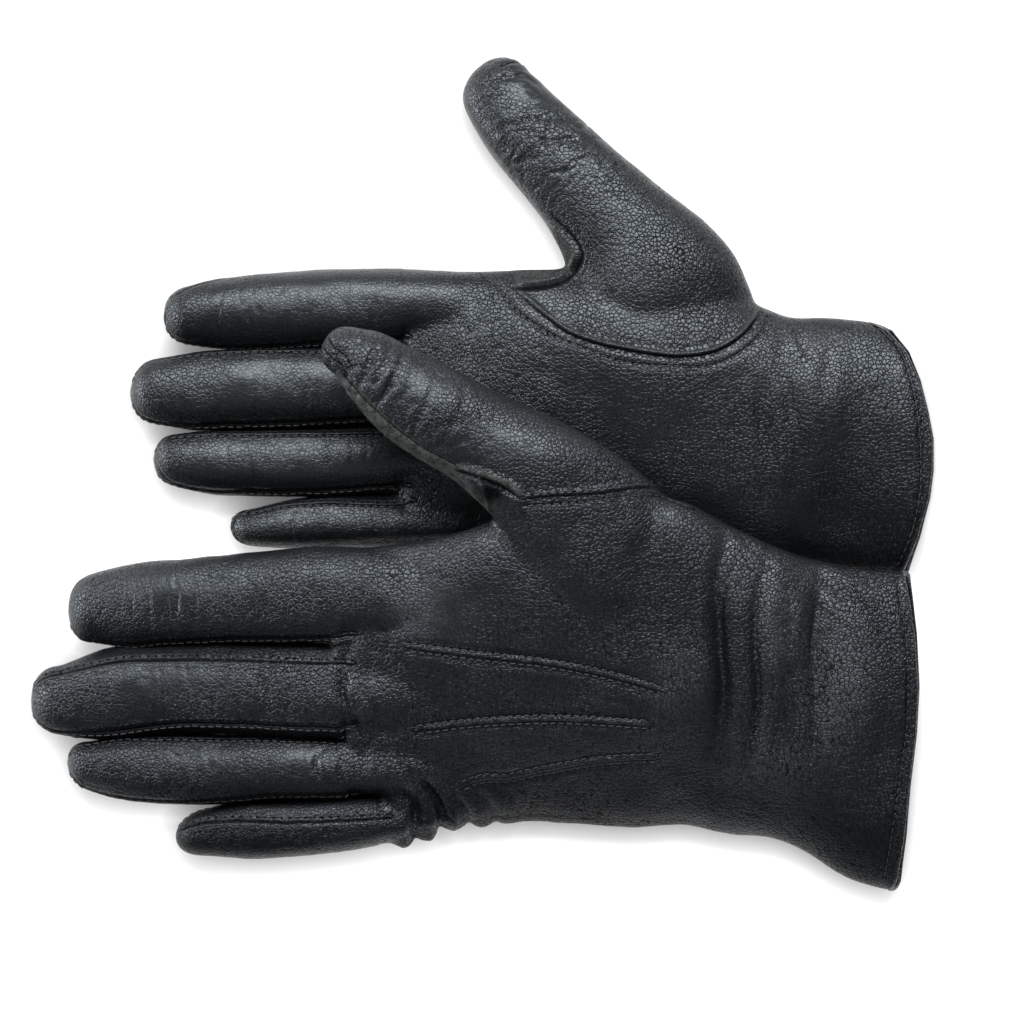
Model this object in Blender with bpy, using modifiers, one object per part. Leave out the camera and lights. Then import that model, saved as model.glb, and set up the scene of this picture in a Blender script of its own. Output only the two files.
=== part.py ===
"""A pair of plump leather dress gloves, one lying over the edge of the other.

The right glove lies palm up with its thumb out to the side.  The left glove lies
back up over the right glove's little-finger edge, with its thumb across the right
palm.  Fingers point to -X, thumbs to +Y, and +Z is up from the table.

Lengths in the tables are millimetres; everything that reaches Blender is metres.
Each glove is a trank (back and palm), fourchettes between the fingers, a set-in
thumb with a quirk, a turned cuff hem, three stitched points and a sewn-in lining.
"""
import math
from collections import namedtuple

import bpy
from mathutils import Vector

MM = 0.001
UP = Vector((0, 0, 1))

# --- driving dimensions, millimetres --------------------------------------------
LEATHER = 0.9                 # thickness of a leather panel
LINING = 0.8                  # thickness of the knitted lining
SEAM_GAP = 0.55               # half of the gap left along a seam
FINGER_LINING_INSET = 2.0     # from the outer face of a finger to its lining
HAND_LINING_INSET = 2.7       # the same on the hand, where the points need room
ROUNDNESS = 2.3               # exponent of the cross-sections, 2 is an ellipse
KNUCKLE_RADIUS = 11.5         # finger roots are arcs of this radius about the hinge
HEM_WIDTH = 5.0
HEM_INSET = 2.5               # from the outer face of the cuff to its turned hem
HEM_THICKNESS = 0.8           # the hem is skived thinner than the panels
POINT_HEIGHT = 0.8
POINT_WIDTH = 1.4
TIP_STEPS = (0.42, 0.74, 0.93)   # shares of the way from the last station to the tip
PANEL_SEGMENTS = 7
TUBE_SEGMENTS = 14

Section = namedtuple("Section", "centre side half_width half_height lean")
Finger = namedtuple("Finger", "name stations tip fourchettes")
Thumb = namedtuple("Thumb", "direction stations tip base hinge_along swing_radius quirk")
Glove = namedtuple("Glove", "name back_sign floor hinge_x knuckle_gap hand cuff fingers "
                            "thumb points point_offset")

# A finger station is (x, y at the thumb side, y at the little side, mid height,
# half thickness); a hand station has a mid height for each side, little side first.
# A fourchette is named by the side it is on: +1 the thumb side, -1 the little side.
RIGHT_GLOVE = Glove(
    name="right", back_sign=-1, floor=0.0, hinge_x=-30.0, knuckle_gap=0.9,
    hand=[(124, 41.0, -30.0, 10.0, 11.5, 11.2),
          (110, 43.0, -29.5, 10.0, 12.0, 12.0),
          (95, 44.5, -28.5, 10.0, 12.5, 12.5),
          (80, 48.5, -27.0, 10.0, 13.5, 13.5),
          (65, 55.0, -26.0, 10.0, 14.5, 14.5),
          (45, 57.0, -25.5, 10.0, 15.0, 15.0),
          (18, 58.0, -24.5, 10.0, 14.5, 14.5),
          (-3, 58.0, -22.5, 9.5, 12.5, 12.5),
          (-16, 58.2, -20.8, 9.5, 10.8, 10.8)],
    cuff=[(-30.0, 121.0), (-7.0, 128.0), (9.0, 130.3), (27.0, 125.4), (41.0, 116.5)],
    fingers=[
        Finger("index", [(-24, 58.5, 37.0, 10.2, 9.8), (-50, 58.0, 36.4, 9.8, 9.4),
                         (-70, 56.5, 36.2, 9.2, 8.8), (-81, 54.5, 36.6, 8.6, 8.1)],
               (-91.7, 45.2, 7.5), (-1,)),
        Finger("middle", [(-24, 35.8, 14.0, 10.2, 9.8), (-50, 35.4, 13.2, 9.8, 9.4),
                          (-76, 34.6, 13.0, 9.2, 8.8), (-91, 33.2, 13.6, 8.6, 8.1)],
               (-101.2, 23.5, 7.5), (1, -1)),
        Finger("ring", [(-24, 12.8, -4.4, 10.0, 9.6), (-50, 12.5, -5.6, 9.6, 9.2),
                        (-70, 12.2, -5.8, 9.0, 8.6), (-85, 11.4, -4.2, 8.4, 7.9)],
               (-94.3, 4.5, 7.3), (1, -1)),
        Finger("little", [(-24, -5.6, -19.4, 9.4, 9.0), (-42, -7.0, -19.6, 9.0, 8.6),
                          (-54, -7.6, -19.8, 8.6, 8.2), (-63, -9.2, -19.6, 8.0, 7.5)],
               (-72.7, -15.6, 7.0), (1,))],
    thumb=Thumb(direction=Vector((-0.590, 0.807, 0)),
                stations=[(42, 88.0, 56.2, 13.0, 11.5), (56, 84.6, 56.4, 12.0, 10.8),
                          (68, 81.7, 56.0, 11.0, 10.0), (84, 79.0, 57.0, 9.6, 8.8)],
                tip=(94.2, 70.3, 8.5),
                base=[(42, 88.2, 56.0, 13.0, 11.7), (29, 91.4, 52.5, 13.5, 12.3),
                      (16, 93.5, 47.0, 13.6, 12.4), (4, 93.0, 43.0, 13.6, 11.5),
                      (-5, 90.0, 44.0, 13.6, 10.0)],
                hinge_along=52.0, swing_radius=17.5,
                quirk=[(10.0, 57.0), (23.0, 57.0), (20.5, 66.0)]),
    points=[[(-14, 38.0), (54, 32.0)], [(-16, 17.5), (56, 17.0)],
            [(-12, -1.5), (52, 2.5)]],
    point_offset=-2.15)

LEFT_GLOVE = Glove(
    name="left", back_sign=1, floor=0.2, hinge_x=-46.0, knuckle_gap=3.6,
    hand=[(120, -27.8, -119.8, 8.5, 22.5, 11.4),
          (108, -27.0, -117.0, 8.5, 23.5, 12.0),
          (92, -23.5, -108.3, 8.0, 26.0, 12.5),
          (76, -16.5, -103.3, 7.5, 30.0, 13.0),
          (62, -9.0, -101.2, 7.0, 34.0, 13.5),
          (45, -5.0, -101.0, 7.0, 36.0, 14.5),
          (22, -7.0, -100.5, 7.0, 36.0, 14.5),
          (0, -13.5, -100.8, 7.5, 34.5, 13.5),
          (-20, -19.6, -103.4, 9.0, 30.0, 11.5)],
    cuff=[(-119.8, 117.7), (-104.0, 121.4), (-75.0, 124.3), (-50.0, 124.2),
          (-28.0, 121.0)],
    fingers=[
        Finger("index", [(-40, -20.9, -46.9, 24.3, 9.8), (-72, -22.6, -46.8, 19.5, 9.3),
                         (-95, -25.2, -48.4, 14.8, 8.8), (-108, -27.6, -48.4, 11.2, 8.0)],
               (-119.1, -38.6, 8.0), (-1,)),
        Finger("middle", [(-40, -48.6, -74.4, 19.2, 9.8), (-72, -48.4, -73.4, 15.8, 9.4),
                          (-100, -49.8, -74.6, 11.6, 8.9), (-118, -54.0, -75.0, 9.4, 8.2)],
               (-129.8, -64.5, 7.6), (1, -1)),
        Finger("ring", [(-40, -75.8, -92.0, 14.9, 9.6), (-72, -74.8, -93.4, 12.6, 9.2),
                        (-95, -75.0, -93.6, 10.4, 8.7), (-109, -76.2, -92.0, 9.0, 8.0)],
               (-119.1, -83.3, 7.4), (1, -1)),
        Finger("little", [(-40, -93.2, -108.2, 11.8, 9.0), (-54, -93.4, -109.6, 10.8, 8.6),
                          (-68, -94.4, -110.2, 9.6, 8.2), (-79, -96.4, -109.6, 8.4, 7.4)],
               (-88.4, -104.6, 7.0), (1,))],
    thumb=Thumb(direction=Vector((-0.893, 0.450, 0)),
                stations=[(4, 22.0, -6.2, 41.6, 10.0), (20, 22.5, -4.6, 42.2, 9.6),
                          (34, 22.8, -1.0, 42.6, 9.0), (46, 21.8, 3.6, 42.4, 8.0)],
                tip=(56.4, 13.0, 42.0),
                base=[(4, 22.2, -6.6, 41.6, 10.2), (-12, 22.8, -12.5, 40.6, 10.8),
                      (-22, 22.4, -17.5, 39.4, 10.8), (-32, 21.6, -20.0, 37.8, 10.0),
                      (-42, 18.0, -20.0, 36.2, 8.0)],
                hinge_along=9.0, swing_radius=16.5,
                quirk=[(-8.0, -15.0), (3.0, -14.0), (-1.0, -8.0)]),
    points=[[(-18, -49.5), (50, -60.5)], [(-18, -72.5), (50, -71.0)],
            [(-8, -88.5), (50, -80.5)]],
    point_offset=0.45)

COLOURS = {                     # base colour, roughness
    "leather": ((0.030, 0.032, 0.035), 0.42),
    "fourchette": ((0.024, 0.025, 0.027), 0.50),
    "hem": ((0.022, 0.020, 0.021), 0.55),
    "point": ((0.040, 0.042, 0.046), 0.45),
    "lining": ((0.160, 0.030, 0.035), 0.90),
}


# --- scene ----------------------------------------------------------------------
def clear_scene():
    for old in list(bpy.data.objects):
        bpy.data.objects.remove(old, do_unlink=True)


def new_collection(name):
    collection = bpy.data.collections.new(name)
    bpy.context.scene.collection.children.link(collection)
    return collection


def new_material(name, kind):
    colour, roughness = COLOURS[kind]
    material = bpy.data.materials.new(name)
    material.use_nodes = True
    shader = material.node_tree.nodes["Principled BSDF"]
    shader.inputs["Base Color"].default_value = (*colour, 1.0)
    shader.inputs["Roughness"].default_value = roughness
    shader.inputs["Metallic"].default_value = 0.0
    return material


def new_empty(name, world_mm, parent, collection):
    """An empty on a body's joint axis; `world_mm` is where the axis is at rest."""
    empty = bpy.data.objects.new(name, None)
    collection.objects.link(empty)
    empty["world_mm"] = list(world_mm)
    offset = Vector(world_mm)
    if parent:
        empty.parent = parent
        offset = offset - Vector(parent["world_mm"])
    empty.location = offset * MM
    return empty


def add_part(name, kind, mesh_data, body, collection):
    """A sub-part from points in world millimetres, hung on its body's empty."""
    origin = Vector(body["world_mm"])
    points, faces = mesh_data
    mesh = bpy.data.meshes.new(name)
    mesh.from_pydata([(Vector(p) - origin) * MM for p in points], [], faces)
    mesh.materials.append(new_material(name, kind))
    part = bpy.data.objects.new(name, mesh)
    part.parent = body
    collection.objects.link(part)
    return part


def add_cutter(name, mesh_data, collection):
    points, faces = mesh_data
    mesh = bpy.data.meshes.new(name)
    mesh.from_pydata([Vector(p) * MM for p in points], [], faces)
    cutter = bpy.data.objects.new(name, mesh)
    cutter.hide_render = True
    cutter.display_type = "WIRE"
    collection.objects.link(cutter)
    return cutter


def thicken(part, thickness):
    """Turn an open skin into a sheet, keeping its outer face where it is."""
    solidify = part.modifiers.new("Thickness", "SOLIDIFY")
    solidify.thickness = thickness * MM
    solidify.offset = -1.0
    part.data.shade_smooth()
    part.data.set_sharp_from_angle(angle=math.radians(50))


def cut(part, cutter):
    boolean = part.modifiers.new("Cut by " + cutter.name, "BOOLEAN")
    boolean.operation = "DIFFERENCE"
    boolean.solver = "EXACT"
    boolean.object = cutter


# --- cross-sections and lofts ---------------------------------------------------
def between(low, high, share):
    return low + (high - low) * share


def along_table(table, value):
    """Straight-line value between the rows (key, value) of a short table."""
    for (key_a, value_a), (key_b, value_b) in zip(table, table[1:]):
        if value <= key_b or key_b == table[-1][0]:
            share = (value - key_a) / (key_b - key_a)
            return between(value_a, value_b, min(max(share, 0.0), 1.0))


def power(value, exponent):
    return math.copysign(abs(value) ** exponent, value)


def section_point(section, angle, inset, floor):
    """Point of a section: angle 0 on its thumb side, a quarter turn at its top."""
    exponent = 2.0 / ROUNDNESS
    width = max(section.half_width - inset, 0.6)
    height = max(section.half_height - inset, 0.6)
    across = width * power(math.cos(angle), exponent)
    rise = height * power(math.sin(angle), exponent) + section.lean * across
    point = section.centre + section.side * across + UP * rise
    point.z = max(point.z, floor + inset)
    return point


def seam_angle(section, half_height):
    """Angle at which the section is `half_height` above its mid height."""
    share = min(half_height / section.half_height, 0.9)
    return math.asin(share ** (ROUNDNESS / 2.0))


def tip_sections(last, tip):
    """Sections that close a finger from its last full section to its tip."""
    sections = []
    for step in TIP_STEPS:
        shrink = (1.0 - step ** 2.4) ** (1.0 / 2.4)
        sections.append(Section(last.centre.lerp(tip, step), last.side,
                                last.half_width * shrink, last.half_height * shrink,
                                0.0))
    return sections


def finger_sections(finger):
    sections = []
    for x, thumb_y, little_y, mid_z, half_height in finger.stations:
        sections.append(Section(Vector((x, (thumb_y + little_y) / 2, mid_z)),
                                Vector((0, 1, 0)), (thumb_y - little_y) / 2,
                                half_height, 0.0))
    return sections


def thumb_across(thumb):
    """The level direction square to the thumb, towards its outer side."""
    return Vector((thumb.direction.y, -thumb.direction.x, 0))


def thumb_sections(thumb, stations):
    across = thumb_across(thumb)
    sections = []
    for along, outer, inner, mid_z, half_height in stations:
        centre = thumb.direction * along + across * (outer + inner) / 2 + UP * mid_z
        sections.append(Section(centre, across, (outer - inner) / 2, half_height, 0.0))
    return sections


def hand_sections(glove):
    sections = []
    for x, thumb_y, little_y, little_z, thumb_z, half_height in glove.hand:
        half_width = (thumb_y - little_y) / 2
        lean = (thumb_z - little_z) / (2 * half_width)
        sections.append(Section(Vector((x, (thumb_y + little_y) / 2,
                                        (little_z + thumb_z) / 2)),
                                Vector((0, 1, 0)), half_width, half_height, lean))
    return sections


def skin(rings, closed, pole=None):
    """Quads between rings of points, root first, with a fan to an end pole."""
    points = [point for ring in rings for point in ring]
    size = len(rings[0])
    columns = range(size if closed else size - 1)
    faces = []
    for row in range(len(rings) - 1):
        for column in columns:
            following = (column + 1) % size
            faces.append((row * size + column, (row + 1) * size + column,
                          (row + 1) * size + following, row * size + following))
    if pole is not None:
        points.append(pole)
        last = (len(rings) - 1) * size
        for column in columns:
            following = (column + 1) % size
            faces.append((last + column, len(points) - 1, last + following))
    return points, faces


def solid(rings):
    """A closed loft: a skin of closed rings with both of its ends filled."""
    points, faces = skin(rings, True)
    size = len(rings[0])
    last = (len(rings) - 1) * size
    faces.append(tuple(range(size)))
    faces.append(tuple(reversed(range(last, last + size))))
    return points, faces


def arc_angles(start, end, segments):
    return [between(start, end, step / segments) for step in range(segments + 1)]


def full_turn(segments):
    return [2 * math.pi * step / segments for step in range(segments)]


# --- roots of the fingers and thumbs --------------------------------------------
def finger_root(point, glove, hinge_z, radius):
    """Move a root point onto the arc about the finger's hinge, on the hand side."""
    height = min(abs(point.z - hinge_z), radius - 0.5)
    return Vector((glove.hinge_x + math.sqrt(radius ** 2 - height ** 2),
                   point.y, point.z))


def thumb_hinge(thumb):
    sections = thumb_sections(thumb, thumb.stations)
    across = sections[0].side
    middle = sections[0].centre.dot(across)
    hinge = thumb.direction * thumb.hinge_along + across * middle
    return Vector((hinge.x, hinge.y, sections[0].centre.z))


def thumb_root(point, thumb, radius):
    """Move a root point onto the arc about the thumb's hinge, on the hand side."""
    hinge = thumb_hinge(thumb)
    across = thumb_across(thumb)
    offset = (point - hinge).dot(across)
    offset = min(max(offset, 0.5 - radius), radius - 0.5)
    depth = math.sqrt(radius ** 2 - offset ** 2)
    flat = hinge + across * (point - hinge).dot(across) - thumb.direction * depth
    return Vector((flat.x, flat.y, point.z))


# --- fingers --------------------------------------------------------------------
def fourchette_heights(finger, side):
    """Half height of the seam band on one side at each station, then at the tip."""
    if side not in finger.fourchettes:
        return [0.0] * (len(finger.stations) + len(TIP_STEPS))
    return [4.0, 3.9, 3.2, 1.7] + [0.0] * len(TIP_STEPS)


def finger_panel(finger, glove, upper):
    """The back or palm leather of one finger: half of its tube, to the tip."""
    sections = finger_sections(finger)
    hinge_z = sections[0].centre.z
    tip = Vector(finger.tip)
    sections += tip_sections(sections[-1], tip)
    thumb_side = fourchette_heights(finger, 1)
    little_side = fourchette_heights(finger, -1)
    sign = 1 if upper else -1
    rings = []
    for row, section in enumerate(sections):
        start = seam_angle(section, thumb_side[row] + SEAM_GAP)
        end = math.pi - seam_angle(section, little_side[row] + SEAM_GAP)
        if upper:
            angles = arc_angles(start, end, PANEL_SEGMENTS)
        else:
            angles = arc_angles(-end, -start, PANEL_SEGMENTS)
        ring = [section_point(section, angle, 0.0, glove.floor) for angle in angles]
        if row == 0:
            ring = [finger_root(p, glove, hinge_z, KNUCKLE_RADIUS) for p in ring]
        rings.append(ring)
    return skin(rings, False, tip + UP * sign * 1.3)


def finger_fourchette(finger, glove, side):
    """The narrow side strip that joins the back and palm of one finger."""
    sections = finger_sections(finger)
    hinge_z = sections[0].centre.z
    rings = []
    for section, height in zip(sections, fourchette_heights(finger, side)):
        reach = seam_angle(section, height - SEAM_GAP)
        middle = 0.0 if side > 0 else math.pi
        angles = arc_angles(middle - reach, middle + reach, 2)
        rings.append([section_point(section, angle, 0.0, glove.floor)
                      for angle in angles])
    rings[0] = [finger_root(p, glove, hinge_z, KNUCKLE_RADIUS) for p in rings[0]]
    return skin(rings, False)


def finger_lining(finger, glove):
    sections = finger_sections(finger)
    hinge_z = sections[0].centre.z
    tip = Vector(finger.tip) + Vector((FINGER_LINING_INSET + 1.0, 0, 0))
    sections += tip_sections(sections[-1], tip)[:2]
    rings = [[section_point(section, angle, FINGER_LINING_INSET, glove.floor)
              for angle in full_turn(TUBE_SEGMENTS)] for section in sections]
    rings[0] = [finger_root(p, glove, hinge_z, KNUCKLE_RADIUS) for p in rings[0]]
    return skin(rings, True, tip)


def build_finger(finger, glove, hand_body, parts):
    root = finger_sections(finger)[0].centre
    body = new_empty(f"{glove.name}_{finger.name}_joint",
                     (glove.hinge_x, root.y, root.z), hand_body, parts)
    prefix = f"{glove.name}_{finger.name}"
    back_is_up = glove.back_sign > 0
    back = add_part(prefix + "_back", "leather",
                    finger_panel(finger, glove, back_is_up), body, parts)
    palm = add_part(prefix + "_palm", "leather",
                    finger_panel(finger, glove, not back_is_up), body, parts)
    thicken(back, LEATHER)
    thicken(palm, LEATHER)
    for side in finger.fourchettes:
        where = "thumb_side" if side > 0 else "little_side"
        strip = add_part(f"{prefix}_fourchette_{where}", "fourchette",
                         finger_fourchette(finger, glove, side), body, parts)
        thicken(strip, LEATHER)
    lining = add_part(prefix + "_lining", "lining", finger_lining(finger, glove),
                      body, parts)
    thicken(lining, LINING)


# --- hand -----------------------------------------------------------------------
def hinge_height(glove, y):
    """Height of the knuckle line at `y`, between the fingers' own hinges."""
    roots = [finger_sections(finger)[0].centre for finger in glove.fingers]
    return along_table(sorted((root.y, root.z) for root in roots), y)


def hand_rings(glove, inset, angles_of, cuff_trim=0.0):
    """Rings of the hand from the cuff to the knuckles, at an inset from its face."""
    sections = hand_sections(glove)
    rings = [[section_point(section, angle, inset, glove.floor)
              for angle in angles_of(section)] for section in sections]
    for point in rings[0]:
        point.x = along_table(glove.cuff, point.y) - cuff_trim
    last = sections[-1]
    radius = KNUCKLE_RADIUS + glove.knuckle_gap
    ring = [section_point(last, angle, inset + 0.5, glove.floor)
            for angle in angles_of(last)]
    rings.append([finger_root(p, glove, hinge_height(glove, p.y), radius) for p in ring])
    return rings


def hand_panel(glove, upper):
    def angles_of(section):
        edge = seam_angle(section, SEAM_GAP)
        if upper:
            return arc_angles(edge, math.pi - edge, 2 * PANEL_SEGMENTS)
        return arc_angles(edge - math.pi, -edge, 2 * PANEL_SEGMENTS)
    return skin(hand_rings(glove, 0.0, angles_of), False)


def hand_lining(glove):
    def angles_of(section):
        return full_turn(24)
    rings = hand_rings(glove, HAND_LINING_INSET, angles_of, HEM_WIDTH + 1.5)
    return skin(rings, True)


def cuff_hem(glove):
    """The turned edge inside the mouth of the cuff."""
    section = hand_sections(glove)[0]
    rings = []
    for trim in (0.4, HEM_WIDTH):
        ring = [section_point(section, angle, HEM_INSET, glove.floor)
                for angle in full_turn(28)]
        for point in ring:
            point.x = along_table(glove.cuff, point.y) - trim
        rings.append(ring)
    return skin(rings, True)


def hand_surface_z(glove, x, y, upper):
    """Height of the outer face of the hand at (x, y)."""
    sections = hand_sections(glove)
    for cuffward, fingerward in zip(sections, sections[1:]):
        if fingerward.centre.x <= x <= cuffward.centre.x:
            span = cuffward.centre.x - fingerward.centre.x
            share = (x - fingerward.centre.x) / span
            heights = []
            for section in (fingerward, cuffward):
                across = y - section.centre.y
                reach = min(abs(across) / section.half_width, 1.0)
                rise = (1 - reach ** ROUNDNESS) ** (1 / ROUNDNESS)
                rise *= section.half_height if upper else -section.half_height
                heights.append(section.centre.z + section.lean * across + rise)
            return max(between(heights[0], heights[1], share), glove.floor)


def point_strip(glove, row):
    """A stitched ridge along the back: a flat strip bent to the back's face."""
    (x_start, y_start), (x_end, y_end) = row
    upper = glove.back_sign > 0
    steps = 8
    rings = []
    for step in range(steps + 1):
        share = step / steps
        x = between(x_start, x_end, share)
        y = between(y_start, y_end, share)
        z = hand_surface_z(glove, x, y, upper) + glove.back_sign * glove.point_offset
        low, high = sorted((z, z + glove.back_sign * POINT_HEIGHT))
        half = POINT_WIDTH / 2
        rings.append([Vector((x, y + half, low)), Vector((x, y - half, low)),
                      Vector((x, y - half, high)), Vector((x, y + half, high))])
    return solid(rings)


def thumb_base_rings(thumb, inset, floor, segments):
    sections = thumb_sections(thumb, thumb.base)
    rings = [[section_point(section, angle, inset, floor)
              for angle in full_turn(segments)] for section in sections]
    radius = thumb.swing_radius + 0.9
    rings[0] = [thumb_root(point, thumb, radius) for point in rings[0]]
    return rings


def build_hand(glove, body, parts, cutters):
    name = glove.name
    back_is_up = glove.back_sign > 0
    hand_core = add_cutter(f"{name}_hand_core", solid(hand_rings(
        glove, -0.45, lambda section: full_turn(24))), cutters)
    base_rings = thumb_base_rings(glove.thumb, LEATHER + 0.3, glove.floor,
                                  TUBE_SEGMENTS)
    thumb_core = add_cutter(f"{name}_thumb_core", solid(base_rings[::-1]), cutters)
    thumb_outer = add_cutter(f"{name}_thumb_outer", solid(thumb_base_rings(
        glove.thumb, -1.0, glove.floor, TUBE_SEGMENTS)[::-1]), cutters)

    for part_name, upper in (("back_panel", back_is_up), ("palm_panel", not back_is_up)):
        panel = add_part(f"{name}_{part_name}", "leather", hand_panel(glove, upper),
                         body, parts)
        thicken(panel, LEATHER)
        cut(panel, thumb_core)
    lining = add_part(f"{name}_hand_lining", "lining", hand_lining(glove), body, parts)
    thicken(lining, LINING)
    cut(lining, thumb_core)
    hem = add_part(f"{name}_cuff_hem", "hem", cuff_hem(glove), body, parts)
    thicken(hem, HEM_THICKNESS)

    base = add_part(f"{name}_thumb_base", "leather", skin(thumb_base_rings(
        glove.thumb, 0.0, glove.floor, TUBE_SEGMENTS)[::-1], True), body, parts)
    thicken(base, LEATHER)
    cut(base, hand_core)

    mid_z = thumb_hinge(glove.thumb).z
    quirk_rings = [[Vector((x, y, mid_z + rise)) for x, y in glove.thumb.quirk]
                   for rise in (-5.0, 5.0)]
    quirk = add_part(f"{name}_thumb_quirk", "leather", solid(quirk_rings), body, parts)
    cut(quirk, hand_core)
    cut(quirk, thumb_outer)

    for number, row in enumerate(glove.points, 1):
        add_part(f"{name}_point_{number}", "point", point_strip(glove, row), body, parts)


# --- thumb ----------------------------------------------------------------------
def thumb_tube(thumb, inset, floor, tip):
    sections = thumb_sections(thumb, thumb.stations)
    sections += tip_sections(sections[-1], tip)
    rings = [[section_point(section, angle, inset, floor)
              for angle in full_turn(TUBE_SEGMENTS)] for section in sections]
    rings[0] = [thumb_root(p, thumb, thumb.swing_radius) for p in rings[0]]
    return skin(rings, True, tip)


def build_thumb(glove, hand_body, parts):
    thumb = glove.thumb
    body = new_empty(f"{glove.name}_thumb_joint", thumb_hinge(thumb), hand_body, parts)
    across = thumb_across(thumb)
    along, side, mid_z = thumb.tip
    tip = thumb.direction * along + across * side + UP * mid_z
    sheath = add_part(f"{glove.name}_thumb_sheath", "leather",
                      thumb_tube(thumb, 0.0, glove.floor, tip), body, parts)
    thicken(sheath, LEATHER)
    inner_tip = tip - thumb.direction * (FINGER_LINING_INSET + 1.0)
    lining = add_part(f"{glove.name}_thumb_lining", "lining",
                      thumb_tube(thumb, FINGER_LINING_INSET, glove.floor, inner_tip),
                      body, parts)
    thicken(lining, LINING)


def build_glove(glove, parent, parts, cutters):
    middle = hand_sections(glove)[5].centre
    body = new_empty(f"{glove.name}_hand_joint", middle, parent, parts)
    build_hand(glove, body, parts, cutters)
    for finger in glove.fingers:
        build_finger(finger, glove, body, parts)
    build_thumb(glove, body, parts)
    return body


clear_scene()
glove_parts = new_collection("leather_gloves")
glove_cutters = new_collection("cutters")
right_body = build_glove(RIGHT_GLOVE, None, glove_parts, glove_cutters)
build_glove(LEFT_GLOVE, right_body, glove_parts, glove_cutters)
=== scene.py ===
import math

import bpy
import numpy as np
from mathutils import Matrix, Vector, noise
from mathutils.bvhtree import BVHTree
from mathutils.kdtree import KDTree


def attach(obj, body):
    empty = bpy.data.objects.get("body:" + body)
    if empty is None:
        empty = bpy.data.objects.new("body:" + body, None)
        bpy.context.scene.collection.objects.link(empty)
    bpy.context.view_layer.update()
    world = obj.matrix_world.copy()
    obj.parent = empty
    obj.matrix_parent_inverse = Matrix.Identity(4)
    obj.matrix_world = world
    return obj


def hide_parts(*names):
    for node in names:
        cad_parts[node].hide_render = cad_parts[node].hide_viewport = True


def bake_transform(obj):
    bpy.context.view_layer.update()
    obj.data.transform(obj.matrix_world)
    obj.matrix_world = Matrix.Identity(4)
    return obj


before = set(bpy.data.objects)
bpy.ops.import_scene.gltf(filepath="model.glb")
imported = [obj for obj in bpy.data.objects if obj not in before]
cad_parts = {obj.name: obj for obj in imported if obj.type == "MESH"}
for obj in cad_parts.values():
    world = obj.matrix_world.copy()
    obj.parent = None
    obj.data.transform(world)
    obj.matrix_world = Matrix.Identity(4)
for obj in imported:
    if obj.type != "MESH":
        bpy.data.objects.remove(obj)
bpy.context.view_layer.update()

# Lengths are millimetres until a mesh is made.  Fingers point to -X, thumbs to +Y.
MM = 0.001
VOXEL = 0.62
ROUNDNESS = 2.3
UP = np.array((0.0, 0.0, 1.0))
STITCH_PITCH = 2.35
SQUEEZE = 0.7          # sides facing another finger are made this much slimmer, then plumped
RING_POINTS = 56
LINING_POINTS = 24
CUFF_POINTS = 160
SEAM_LEAN = 0.25       # how far a seam is drawn towards its finger's side at the tip
LINE_STEP = 0.45       # between the points of a curve laid on the skin
PEBBLES = 860.0        # grain cells to the metre
FINE_PEBBLES = 1750.0
LEFT_THUMB_LEVEL = 30  # the left thumb lies above this height, and the hand below it
FAR_OFF = 1e9

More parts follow.
